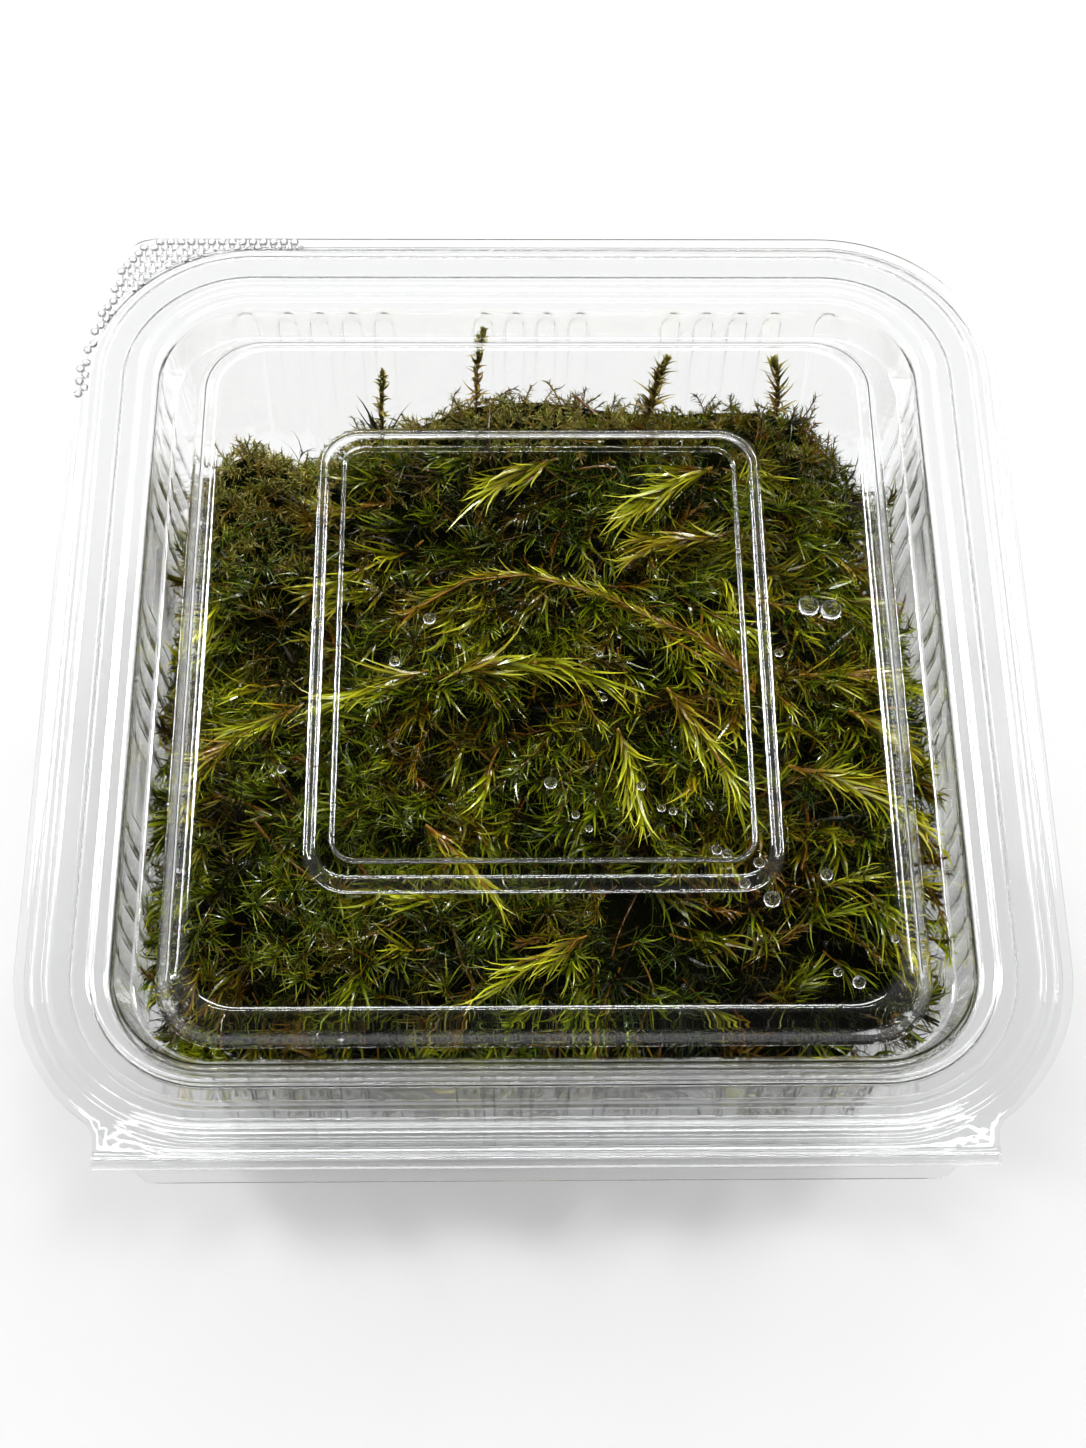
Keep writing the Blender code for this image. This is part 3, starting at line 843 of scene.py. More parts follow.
# Material, seed, and each shoot's length, rise, sideways drift and look
RECIPES = {
    "bright_shoot": (leaf_bright, 10, (
        (7, 1.0, 1.0, BRUSH), (6, 1.2, -1.5, BRUSH), (9, 1.0, 2.0, BRUSH),
        (7, 1.2, -2.0, FAN), (6, 1.0, 0.5, FAN), (13, 1.0, 3.0, FEATHER))),
    "fresh_shoot": (leaf_fresh, 11, (
        (8, 1.5, 1.5, BRUSH), (7, 2.0, -1.5, BRUSH), (8, 2.0, -2.5, FAN),
        (13, 2.0, 3.0, FEATHER), (9, 2.0, 1.0, FAN), (14, 1.5, -3.5, FEATHER))),
    "star_shoot": (leaf_fresh, 15, (
        (4, 1.0, 0.8, STAR), (3, 0.5, -0.8, STAR), (5, 0.8, 1.0, STAR), (4, 0.4, -0.6, STAR))),
    "wisp_shoot": (leaf_wisp, 13, (
        (7, 3.0, 1.5, WISP), (9, 2.0, -2.0, WISP), (6, 3.0, 2.5, WISP), (8, 2.5, -1.0, WISP))),
    "rust_shoot": (leaf_rust, 14, (
        (14, 2.0, 4.0, WOOLLY), (10, 2.0, -3.0, WOOLLY), (16, 1.0, -5.0, WOOLLY),
        (12, 2.0, 1.5, FEATHER))),
    "frost_shoot": (leaf_frost, 16, FUZZY),
    "wool_shoot": (leaf_wisp, 17, FUZZY),
    "deep_shoot": (leaf_old_and_shaded, 12, (
        (10, 3.0, 1.5, FEATHER), (9, 3.0, -2.0, FAN), (9, 1.5, 2.5, WISP),
        (10, 3.0, -1.0, WOOLLY), (9, 2.0, 0.5, FAN))),
}
KINDS = {name: shoot_kinds(name, *recipe) for name, recipe in RECIPES.items()}

# %% [markdown]
# ## The mat
#
# The frame's mat is the cushion's outside. A nearly black bed lies a few millimetres inside
# it, painted shade for the depth of the clump, and shoots grow out of the bed so that their
# tips end about at the cushion's surface. Two attributes of the ground steer them: the vector
# `lay` says which way they lean, and `thick` how densely they stand.

# %% Where each kind grows
mat_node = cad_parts["moss_mat"]


def lean_at(x, y):
    """Which way shoots lean, in degrees from +X, at a place in millimetres."""
    across = -88.0 + 44.0 * math.tanh((x - 14.0) / 18.0)
    swirl = (30 * math.sin(x / 15.0 + 1.3) * math.cos(y / 19.0)
             + 26 * math.sin(y / 11.0 - x / 29.0))
    return across + swirl


def everywhere(x, y):
    """Shoots all over."""
    return 1.0


BACK_EDGE_Y = 49.0
# Soft spots: middle, spread and strength. The mat is dark and thin in the hollows
HOLLOWS = (((28, -42), (22, 14), 0.85), ((-34, 21), (7, 13), 0.95), ((36, -2), (7, 6), 0.6),
           ((14, -20), (13, 8), 0.8), ((-6, 30), (6, 5), 0.5), ((12, 12), (8, 4), 0.4),
           ((42, -30), (12, 8), 0.5))
CARPET = (((-34, -34), (24, 20), 1.0), ((-40, 0), (12, 10), 0.5))
OLD_LUMP = (((-48, 44), (17, 16), 1.2),)
WOOL = (((50, 42), (13, 12), 0.8), ((-44, 28), (12, 8), 0.6))
RUSTY = (((-44, 14), (12, 14), 1.0), ((10, 24), (30, 8), 0.7), ((34, 40), (12, 10), 0.7),
         ((8, 46), (40, 6), 0.5), ((36, 8), (22, 12), 0.6))


def in_spots(x, y, patches):
    """How far a place is in some soft spots, from 0 to 1."""
    share = sum(strength * math.exp(-(((x - at[0]) / spread[0]) ** 2
                                      + ((y - at[1]) / spread[1]) ** 2))
                for at, spread, strength in patches)
    return min(share, 1.0)


def low_at_back(y):
    """Nothing tall on the back edge, whose outline stays low."""
    return min(1.0, max(0.0, (BACK_EDGE_Y - y) / 7.0))


def big_places(x, y):
    """Big shoots: few in the hollows, on the fine carpet and on the old lump."""
    return (1 - in_spots(x, y, HOLLOWS + CARPET + OLD_LUMP + WOOL)) * low_at_back(y)


def fine_places(x, y):
    """Fine shoots: few in the hollows."""
    return (1 - 0.8 * in_spots(x, y, HOLLOWS + OLD_LUMP)) * low_at_back(y - 2)


def carpet_places(x, y):
    """Small green stars: most on the carpet at the front left."""
    open_ground = 1 - in_spots(x, y, HOLLOWS)
    return (0.25 + 0.75 * in_spots(x, y, CARPET + WOOL)) * open_ground * low_at_back(y)


def rusty_places(x, y):
    """Old brown shoots."""
    old = 0.3 + 0.7 * in_spots(x, y, RUSTY)
    return old * (1 - in_spots(x, y, OLD_LUMP)) * low_at_back(y - 4)


def frosty_places(x, y):
    """The old growth on the back left lump and along the back edge."""
    ridge = math.exp(-((y - 57) / 9) ** 2) / (1 + math.exp((x - 14) / 6))
    return min(1.0, in_spots(x, y, OLD_LUMP) + ridge)


def woolly_places(x, y):
    """Short dark wool on the right of the back edge, and on a few soft spots."""
    ridge = math.exp(-((y - 56) / 9) ** 2) / (1 + math.exp((10 - x) / 6))
    return min(1.0, ridge + in_spots(x, y, WOOL))


def deep_places(x, y):
    """Old filling, dark as painted shade: nothing that would stick out over the back edge."""
    return low_at_back(y - 3) * (1 - in_spots(x, y, OLD_LUMP))


print("big shoots: share", round(big_places(0, 0), 2), "in the middle, and",
      round(big_places(28, -42), 2), "in the hollow in front")

# %% [markdown]
# ### The ground
#
# The scatter needs a surface to grow from. It is a copy of the mat without its underside,
# pushed in along its normals, so that the shoots' tips and not their feet end at the mat's
# outside. Under the short old growth it is pushed in less.

# %% The ground that shoots grow on
# On the mat's front and sides shoots point up, and stand less densely
STEEP, SIDES_END_Y, SIDE_RISE, SIDE_SHARE = 0.4, 45, 0.7, 0.4
BED_SINK, SHALLOW_SINK = 5.5, 2.2


def shallow(x, y):
    """How far a place is under short growth, where the bed lies near the surface."""
    ridge = 1 / (1 + math.exp((50.0 - y) / 2.0))
    return min(1.0, ridge + in_spots(x, y, OLD_LUMP))


def ground_mesh(name, sink, where=everywhere, least=None):
    """A copy of the mat without its underside, sunk along its normals.

    Under short growth it sinks by `least` only.
    """
    shape = bmesh.new()
    shape.from_mesh(mat_node.data)
    bmesh.ops.remove_doubles(shape, verts=shape.verts, dist=1e-6)
    shape.normal_update()
    for vertex in shape.verts:
        down = sink
        if least is not None:
            down += (least - sink) * shallow(vertex.co.x / MM, vertex.co.y / MM)
        vertex.co -= vertex.normal * down * MM
    below = [face for face in shape.faces if face.normal.z < -0.5]
    bmesh.ops.delete(shape, geom=below, context="FACES")
    mesh = bpy.data.meshes.new(name)
    shape.to_mesh(mesh)
    shape.free()
    lay = np.empty((len(mesh.vertices), 3))
    thick = np.empty(len(mesh.vertices))
    for i, vertex in enumerate(mesh.vertices):
        x, y, _ = vertex.co / MM
        lean = math.radians(lean_at(x, y))
        on_side = vertex.normal.z < STEEP and y < SIDES_END_Y
        lay[i] = (math.cos(lean), math.sin(lean), SIDE_RISE if on_side else 0.0)
        thick[i] = where(x, y) * (SIDE_SHARE if on_side else 1.0)
    store(mesh, "lay", lay)
    store(mesh, "thick", thick)
    return mesh


print("share of short growth on the back edge:", round(shallow(0, 55), 2))

# %% [markdown]
# ### The scatter tree
#
# Placing thousands of shoots by hand is hopeless, and a particle system doesn't export. A
# Geometry Nodes tree does it: points spread over the ground, thinned by a noise so that
# shoots stand in patches, each point turned to stand on the ground and lean with `lay`,
# and a random shoot put on each. It ends in Realize Instances, so plain faces come out.


# %% Scatter tree
def new_tree(name, sockets):
    """A Geometry Nodes tree with named inputs: its node maker, and its inputs."""
    tree = bpy.data.node_groups.new(name, "GeometryNodeTree")
    for label, kind in sockets:
        tree.interface.new_socket(label, in_out="INPUT", socket_type="NodeSocket" + kind)
    tree.interface.new_socket("Geometry", in_out="OUTPUT", socket_type="NodeSocketGeometry")

    def add(kind, inputs=(), **settings):
        return add_node(tree, kind, inputs, **settings)

    return tree, add, add("NodeGroupInput").outputs


def live(node):
    """The output of a node whose sockets change with its data type."""
    return next(socket for socket in node.outputs if socket.enabled)


def read(add, label, kind="FLOAT"):
    """An attribute of the mesh."""
    return live(add("GeometryNodeInputNamedAttribute", [("Name", label)], data_type=kind))


def end_tree(add, geometry, material):
    """The end of a tree: plain faces with one material."""
    real = add("GeometryNodeRealizeInstances", [("Geometry", geometry)])
    dressed = add("GeometryNodeSetMaterial", [("Geometry", real.outputs[0]),
                                              ("Material", material)])
    add("NodeGroupOutput", [("Geometry", dressed.outputs[0])])


PATCH_SOFT = 0.05       # how softly a patch of shoots ends
ROLL = 0.7              # how far shoots roll round their own stems, in radians


def scatter_tree():
    """A mesh in, leaning random shoots out."""
    tree, add, given = new_tree("scatter_shoots", (
        ("Geometry", "Geometry"), ("Shoots", "Collection"), ("Density", "Float"),
        ("Seed", "Int"), ("Patch Scale", "Float"), ("Patch Cut", "Float"),
        ("Smallest", "Float"), ("Largest", "Float"), ("Stray", "Float"),
        ("Lift Low", "Float"), ("Lift High", "Float"), ("Material", "Material")))

    def figure(operation, first, second):
        """A sum with two values."""
        return add("ShaderNodeMath", [(0, first), (1, second)], operation=operation).outputs[0]

    def chance(kind, least, most):
        """A random value of each point, between two values."""
        return live(add("FunctionNodeRandomValue", [("Min", least), ("Max", most),
                                                    ("Seed", given["Seed"])], data_type=kind))

    def turn_limit(roll, lift, stray):
        """One end of the range that shoots turn in. A lift turns the tip up."""
        return add("ShaderNodeCombineXYZ", [("X", roll), ("Y", figure("MULTIPLY", lift, -1.0)),
                                            ("Z", stray)]).outputs[0]

    place = add("GeometryNodeInputPosition").outputs[0]
    noise = add("ShaderNodeTexNoise", [("Vector", place), ("W", given["Seed"]),
                                       ("Scale", given["Patch Scale"]), ("Detail", 1.0)],
                noise_dimensions="4D")
    over = figure("SUBTRACT", noise.outputs[0], given["Patch Cut"])
    patch = add("ShaderNodeMapRange", [("Value", over), ("From Min", -PATCH_SOFT),
                                       ("From Max", PATCH_SOFT)])
    dense = figure("MULTIPLY", given["Density"], read(add, "thick"))
    points = add("GeometryNodeDistributePointsOnFaces",
                 [("Mesh", given["Geometry"]), ("Seed", given["Seed"]),
                  ("Density", figure("MULTIPLY", dense, patch.outputs[0]))]).outputs
    stand = add("FunctionNodeAlignRotationToVector", [("Vector", points["Normal"])], axis="Z")
    lean = add("FunctionNodeAlignRotationToVector",
               [("Rotation", stand.outputs[0]), ("Vector", read(add, "lay", "FLOAT_VECTOR"))],
               axis="X", pivot_axis="Z")
    least = turn_limit(-ROLL, given["Lift High"], figure("MULTIPLY", given["Stray"], -1.0))
    most = turn_limit(ROLL, given["Lift Low"], given["Stray"])
    turn = add("FunctionNodeEulerToRotation", [("Euler", chance("FLOAT_VECTOR", least, most))])
    rotation = add("FunctionNodeRotateRotation",
                   [("Rotation", lean.outputs[0]), ("Rotate By", turn.outputs[0])],
                   rotation_space="LOCAL")
    shoots = add("GeometryNodeCollectionInfo", [("Collection", given["Shoots"]),
                                                ("Separate Children", True),
                                                ("Reset Children", True)])
    placed = add("GeometryNodeInstanceOnPoints",
                 [("Points", points["Points"]), ("Instance", shoots.outputs[0]),
                  ("Pick Instance", True), ("Instance Index", chance("INT", 0, 100)),
                  ("Rotation", rotation.outputs[0]),
                  ("Scale", chance("FLOAT", given["Smallest"], given["Largest"]))])
    tint = add("FunctionNodeRandomValue", [("Seed", 7)], data_type="FLOAT")
    marked = add("GeometryNodeStoreNamedAttribute",
                 [("Geometry", placed.outputs[0]), ("Name", "tint"), ("Value", live(tint))],
                 data_type="FLOAT", domain="INSTANCE")
    end_tree(add, marked.outputs[0], given["Material"])
    return tree


scatter = scatter_tree()
print("scatter tree:", len(scatter.nodes), "nodes")

# %% [markdown]
# ### Plain meshes, kept in the box
#
# A modifier's result is lost on export, so the tree runs once and its result is kept as a
# plain mesh. In the real box the walls and the lid press stray leaves back. A cloth or
# hair simulation could do that, but it is enough to move every point that went through
# the sheet back to its inside.

# %% Plain meshes from a tree
def evaluated(name, mesh, tree, settings):
    """Run a tree on a mesh, and keep what comes out as a plain mesh."""
    source = linked(name, mesh)
    modifier = source.modifiers.new(name, "NODES")
    modifier.node_group = tree
    sockets = {item.name: item.identifier for item in tree.interface.items_tree
               if item.in_out == "INPUT"}
    for label, value in settings.items():
        modifier[sockets[label]] = value
    graph = bpy.context.evaluated_depsgraph_get()
    made = bpy.data.meshes.new_from_object(source.evaluated_get(graph), depsgraph=graph)
    bpy.data.objects.remove(source)
    made.name = name
    return made


GUTTER = (14.0, 19.0)                   # inset of the low part of the lid
GUTTER_CEILING, CEILING = 38.3, 42.2
PRESSED = 2.5       # over this depth under the lid, leaves are squeezed together
TRAY_FLOOR = 0.9
WALL_GAP = 0.4


def kept_inside(mesh):
    """Press a mesh's points in between the walls, the floor and the lid."""
    points = np.empty(3 * len(mesh.vertices))
    mesh.vertices.foreach_get("co", points)
    points = points.reshape(-1, 3) / MM
    x, y = points[:, 0], points[:, 1]
    middle = (BACK_Y + HINGE_Y) / 2
    reach = (BACK_Y - HINGE_Y) / 2
    inset = np.minimum(HALF_WIDTH - np.abs(x), reach - np.abs(y - middle))
    in_gutter = (inset > GUTTER[0]) & (inset < GUTTER[1])
    start = np.where(in_gutter, GUTTER_CEILING, CEILING) - PRESSED
    over = np.maximum(points[:, 2] - start, 0.0)
    pressed = start + PRESSED * (1.0 - np.exp(-over / PRESSED))
    points[:, 2] = np.maximum(np.where(over > 0.0, pressed, points[:, 2]), TRAY_FLOOR)
    wall = wall_inset(points[:, 2]) + WALL_GAP
    half_x, half_y, radius = HALF_WIDTH - wall, reach - wall, CORNER_RADIUS - wall
    over_x, over_y = np.abs(x) - (half_x - radius), np.abs(y - middle) - (half_y - radius)
    in_corner = (over_x > 0) & (over_y > 0)
    far = np.hypot(over_x, over_y)
    squeeze = np.where(in_corner & (far > radius), radius / np.maximum(far, 1e-6), 1.0)
    new_x = np.where(in_corner, (half_x - radius) + over_x * squeeze,
                     np.minimum(np.abs(x), half_x))
    new_y = np.where(in_corner, (half_y - radius) + over_y * squeeze,
                     np.minimum(np.abs(y - middle), half_y))
    points[:, 0] = np.sign(x) * new_x
    points[:, 1] = middle + np.sign(y - middle) * new_y
    mesh.vertices.foreach_set("co", (points * MM).ravel())
    mesh.update()


def placed(name, mesh, body, slot):
    """Put a finished mesh in the scene on a body."""
    made = linked(name, mesh)
    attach(made, body)
    return made


print("20 mm up, leaves end", round(wall_inset(20.0) + WALL_GAP, 1), "mm in from the outline")

# %% [markdown]
# ### Layers of growth
#
# Old shoots fill the depth, nearly black with painted shade, fine green wisps grow between
# them, then come the fresh brushes, rusty old stems in patches, and a few bright tips on top.
# One layer could not have all those colours side by side, so each is a scatter of its own.

# %% Layers
# Shoots, material, where, sink, density, patch scale and cut, sizes, stray, and lifts
LAYERS = {
    "moss_deep": ("deep_shoot", leaf_old_and_shaded, deep_places, 5.5, 50000, 60, 0.0, (0.7, 1.1), 2.2,
                  (0.0, 0.4)),
    "moss_wisps": ("wisp_shoot", leaf_wisp, fine_places, 3.2, 90000, 75, 0.42, (0.6, 1.05),
                   2.5, (0.0, 0.6)),
    "moss_carpet": ("star_shoot", leaf_fresh, carpet_places, 2.6, 130000, 90, 0.42,
                    (0.7, 1.15), 3.1, (0.2, 1.2)),
    "moss_fresh": ("fresh_shoot", leaf_fresh, big_places, 3.0, 95000, 60, 0.46, (0.7, 1.15),
                   0.9, (0.0, 0.4)),
    "moss_rust": ("rust_shoot", leaf_rust, rusty_places, 2.6, 48000, 80, 0.48, (0.6, 1.0),
                  1.6, (-0.05, 0.25)),
    "moss_frost": ("frost_shoot", leaf_frost, frosty_places, 1.4, 330000, 120, 0.2,
                   (0.6, 1.2), 3.1, (0.0, 0.8)),
    "moss_wool": ("wool_shoot", leaf_fresh, woolly_places, 1.4, 340000, 120, 0.2, (0.6, 1.2),
                  3.1, (0.0, 0.8)),
    "moss_bright": ("bright_shoot", leaf_bright, big_places, 1.8, 24000, 50, 0.5, (0.75, 1.2),
                    0.8, (0.0, 0.3)),
}
total = 0
for seed, (name, layer) in enumerate(LAYERS.items(), 1):
    kinds, material, where, sink, density, scale, cut, sizes, stray, lifts = layer
    mesh = evaluated(name, ground_mesh("ground", sink, where), scatter, {
        "Shoots": KINDS[kinds], "Density": float(density), "Seed": seed,
        "Patch Scale": float(scale), "Patch Cut": cut, "Smallest": sizes[0],
        "Largest": sizes[1], "Stray": stray, "Lift Low": lifts[0], "Lift High": lifts[1],
        "Material": material})
    kept_inside(mesh)
    piece = placed(name, mesh, "tray_body", "moss_green")
    total += triangles(piece)
    print(name, triangles(piece), "triangles")
print("scattered moss:", total, "triangles")

# The bed is a nearly black sheet of painted shade under the shoots.
bed_mesh = ground_mesh("moss_bed", BED_SINK, least=SHALLOW_SINK)
bed_mesh.materials.append(painted_shade_bed)
bed = placed("moss_bed", bed_mesh, "tray_body", "moss_green")
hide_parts("moss_mat")
print("moss_bed", triangles(bed), "triangles")

# %% [markdown]
# ## Strands
#
# Fourteen long bright shoots lie loose on the mat and draw the eye, so they can't be left
# to chance. Each follows the frame's strand of the same name, from tip to foot, and takes its
# place. A strand is one long leafy stem with a few side brushes, and it rests on the
# highest point of the mat beneath it, found by casting rays down.

# %% Strands
mat_shape = bmesh.new()
mat_shape.from_mesh(mat_node.data)
mat_surface = BVHTree.FromBMesh(mat_shape)
mat_shape.free()


def top_of(x, y, radius):
    """Highest point of the mat under a round spot, in millimetres."""
    high = 0.0
    for i in range(8):
        angle = math.pi * i / 4
        start = Vector((x + radius * math.cos(angle), y + radius * math.sin(angle), 1000.0))
        hit = mat_surface.ray_cast(start * MM, Vector((0.0, 0.0, -1.0)))[0]
        if hit is not None:
            high = max(high, hit.z / MM)
    return high


# Waypoints from tip to foot, the tuft's radius, leaves, leaf length and width, and age
STRANDS = {
    "strand_yellow_left": (((-50.4, -10.0), (-42.8, -3.7), (-35.9, 0.0)), 1.5,
                           46, 8.5, 0.62, (0.6, 0.2)),
    "strand_green_left": (((-29.8, 0.5), (-22.8, 3.5), (-17.0, 5.2)), 1.6,
                          36, 9.5, 0.62, (0.6, 0.0)),
    "strand_bright_middle": (((7.4, 3.7), (0.5, 6.1), (-7.9, 6.1), (-13.2, 4.4)), 2.0,
                             44, 10.5, 0.78, (0.35, 0.0)),
    "strand_brown_long": (((-19.1, 16.1), (-11.1, 21.5), (-1.8, 21.9), (9.1, 18.2),
                           (16.8, 14.3), (24.4, 11.1), (29.6, 6.6), (32.7, 1.4)), 1.9,
                          170, 4.8, 0.5, (1.0, 0.55)),
    "strand_green_middle": (((14.6, -16.3), (13.5, -10.0), (11.6, -4.5)), 1.7,
                            34, 9.0, 0.68, (0.35, 0.0)),
    "strand_green_right": (((29.2, -14.7), (25.6, -7.1), (22.5, -2.0), (19.2, 2.3)), 1.7,
                           50, 9.5, 0.6, (0.4, 0.0)),
    "strand_far_right": (((56.8, -11.5), (51.0, -5.8), (46.5, -3.0)), 1.7,
                         36, 9.0, 0.62, (0.5, 0.0)),
    "strand_upper_right": (((54.7, 1.9), (47.5, 3.6), (39.5, 4.0)), 1.4,
                           34, 8.0, 0.6, (0.5, 0.0)),
    "strand_edge_right": (((53.5, -22.1), (47.2, -17.2), (42.2, -13.4), (37.1, -11.0)), 1.7,
                          50, 9.5, 0.62, (0.8, 0.15)),
    "strand_front_left": (((-7.2, -31.2), (-10.8, -26.4), (-14.2, -22.6), (-17.2, -20.0)), 1.6,
                          46, 6.0, 0.55, (0.9, 0.2)),
    "strand_front_middle": (((-4.8, -44.5), (-0.9, -41.9), (2.7, -39.5), (6.3, -38.0)), 1.5,
                            36, 8.0, 0.6, (0.6, 0.1)),
    "strand_tuft_back": (((-6.6, 37.7), (-1.8, 40.6), (3.0, 42.5)), 1.9,
                         30, 9.0, 0.75, (0.35, 0.0)),
    "strand_tuft_right": (((15.6, 34.9), (22.1, 38.7), (27.8, 41.5)), 2.0,
                          40, 10.0, 0.75, (0.5, 0.0)),
    "strand_tuft_middle": (((15.4, 25.5), (21.8, 28.3), (28.9, 29.2)), 1.9,
                           32, 8.5, 0.7, (0.4, 0.0)),
}
print("the mat's top in its middle:", round(top_of(0.0, 0.0, 1.0), 1), "mm")

# %% [markdown]
# ### Laying the strands
#
# Side brushes leave the stem at random turns to either side. Each strand is written straight
# to a mesh, because every one of them is used once.

# %% Lay the strands
GAP = 0.5               # between the mat and what lies on it
rng = np.random.default_rng(5)


def side_brush(path, share, turn, length):
    """A short brush of leaves that branches off a path, in the plan."""
    at = int(share * (len(path) - 2))
    along = unit(path[at + 1] - path[at])
    angle = math.radians(turn)
    away = np.array((along[0] * math.cos(angle) - along[1] * math.sin(angle),
                     along[0] * math.sin(angle) + along[1] * math.cos(angle), along[2]))
    u = np.linspace(0, 1, 7)[:, None]
    twig = path[at] + away * length * u * (1 - 0.35 * u) + along * length * 0.35 * u * u
    return leafy(twig, rng, 13, 1.1 * length, 0.46, 22, 7, -0.5, stem=0.2, start=0.2,
                 age=(0.6, 0.0), ragged=0.3, sweep=0.12, curl=0.15)


def stand_in(name, shoots, material):
    """Shoots that take the place of the frame's strand or sprig of the same name."""
    mesh = moss_mesh(name, shoots, material, tint=0.7)
    kept_inside(mesh)
    piece = placed("moss_" + name, mesh, "tray_body", "shoot_green")
    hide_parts(name)


for name, (waypoints, radius, leaves, length, width, age) in STRANDS.items():
    flat = smooth_path([(x, y, 0.0) for x, y in waypoints], 15)
    path = np.array([(x, y, top_of(x, y, radius) + radius + GAP) for x, y, _ in flat])[::-1]
    shoots = [leafy(path, rng, int(1.5 * leaves), 0.85 * length, 0.8 * width, 22, 7, -0.5,
                    stem=0.3, age=age, ragged=0.4, sweep=0.1, curl=0.16, taper=0.0)]
    for share in np.arange(0.2, 0.8, 4.0 * len(waypoints) / leaves):
        turn = rng.choice((-1, 1)) * rng.uniform(15, 38)
        shoots.append(side_brush(path, share, turn, 0.65 * length))
    stand_in(name, shoots, leaf_bright)
print("strands:", len(STRANDS))

# %% [markdown]
# ### Sprigs
#
# Four short shoots stand up behind the mat, in front of the pale wall. They are seen as
# outlines, so their leaves are broad, uneven and curled, and get shorter towards the tip.

# %% Sprigs
# Foot on the mat, places up to the tip, the sprig's radius, leaves and leaf length
SPRIGS = {
    "sprig_tall": ((-10.0, 59.6), ((-9.6, 61.9, 33.2), (-9.2, 63.3, 36.4),
                                   (-8.6, 64.05, 39.5)), 0.75, 70, 2.4),
    "sprig_left": ((-26.0, 59.6), ((-25.6, 61.4, 26.0), (-25.3, 62.3, 30.1)), 0.9, 90, 2.0),
    "sprig_bushy": ((18.7, 58.6), ((20.0, 60.8, 30.5), (21.3, 62.0, 33.6)), 1.5, 90, 3.0),
    "sprig_right": ((40.3, 58.6), ((39.6, 60.8, 30.4), (38.7, 62.2, 33.0)), 0.9, 60, 3.0),
}
for name, ((foot_x, foot_y), upper, radius, leaves, length) in SPRIGS.items():
    foot_z = top_of(foot_x, foot_y, radius) + radius + GAP
    path = smooth_path([(foot_x, foot_y, foot_z - 3.0)] + list(upper), 12)
    shoot = leafy(path, rng, 2 * leaves, 1.05 * length, 0.6, 50, 16, -0.3, stem=0.16,
                  age=(0.9, 0.3), ragged=0.7, curl=0.4, taper=0.75)
    stand_in(name, [shoot], leaf_frost)
print("sprigs:", len(SPRIGS))

# %% [markdown]
# ## Water
#
# Moss in a closed box breathes out water. It gathers in flat drops under the cold lid,
# each a clear lens with a bright rim. A metaball would melt into its neighbours, so each
# drop is a closed dome of its own, about a quarter as high as it is wide.

# %% Drops under the lid
DROPS = ((31.9, -37.7, 1.29), (39.8, -34.0, 0.94), (1.1, -19.4, 1.01), (43.2, -50.2, 1.01),
         (30.4, -32.1, 0.86), (28.2, -35.2, 0.86), (24.5, -30.1, 0.79), (25.9, -30.7, 0.79),
         (40.4, -48.7, 0.72), (48.7, -43.8, 0.65), (14.1, -20.0, 0.72), (16.9, -23.5, 0.65),
         (18.5, -24.0, 0.65), (6.5, -26.7, 0.58), (4.6, -24.5, 0.65), (40.1, 10.0, 1.73),
         (43.4, 9.3, 1.73), (-16.6, 7.9, 1.01), (-21.6, 0.6, 0.86), (-37.5, -17.1, 0.72),
         (35.2, 1.9, 0.72), (8.6, 1.9, 0.58), (9.1, -5.7, 0.5))
UNDER_LID = 42.52
DROP_HEIGHT = 0.55      # of its radius


def dome(x, y, z, radius, height, around=20, rows=6):
    """A closed drop that hangs from a level, in millimetres."""
    points = [(x, y, z)]
    for row in range(rows):
        angle = 0.5 * math.pi * row / (rows - 1)
        for i in range(around):
            turn = 2 * math.pi * i / around
            points.append((x + radius * math.cos(angle) * math.cos(turn),
                           y + radius * math.cos(angle) * math.sin(turn),
                           z - height * math.sin(angle)))
    faces = [(0, 1 + i, 1 + (i + 1) % around) for i in range(around)]
    for row in range(rows - 1):
        a, b = 1 + row * around, 1 + (row + 1) * around
        faces += [(a + i, b + i, b + (i + 1) % around, a + (i + 1) % around)
                  for i in range(around)]
    return points, faces


points, faces = [], []
for x, y, radius in DROPS:
    drop_points, drop_faces = dome(x, y, UNDER_LID, radius, DROP_HEIGHT * radius)
    faces += shifted(drop_faces, len(points))
    points += drop_points
mesh = mesh_of("drops", points, faces, drop_water)
drops = lets_light_in(placed("water_drops", mesh, "lid_body", "clear_sheet"))
print("drops:", len(DROPS), "with", triangles(drops), "triangles")

# %% [markdown]
# ### Beads on the leaves
#
# Tiny beads of dew sit on the leaves and glint. There are about a thousand, so a small
# Geometry Nodes tree puts one round bead on each chosen point, scaled by an attribute. The
# points come from the fresh shoots' own leaves, and only from those near the outside.

# %% Beads on the leaves
def bead_tree():
    """Geometry Nodes: one bead, scaled by the attribute `size`, on every point of a mesh."""
    tree, add, given = new_tree("put_beads", (("Geometry", "Geometry"), ("Bead", "Object"),
                                              ("Material", "Material")))
    points = add("GeometryNodeMeshToPoints", [("Mesh", given["Geometry"])])
    bead = add("GeometryNodeObjectInfo", [("Object", given["Bead"]), ("As Instance", True)])
    placed = add("GeometryNodeInstanceOnPoints",
                 [("Points", points.outputs[0]), ("Instance", bead.outputs["Geometry"]),
                  ("Scale", read(add, "size"))])
    end_tree(add, placed.outputs[0], given["Material"])
    return tree


put_beads = bead_tree()


def beads(name, points, sizes, bead, material):
    """A plain mesh of beads at some points, in millimetres."""
    mesh = mesh_of(name, points, [])
    store(mesh, "size", sizes)
    made = evaluated(name, mesh, put_beads, {"Bead": bead, "Material": material})
    made.polygons.foreach_set("use_smooth", [True] * len(made.polygons))
    return made


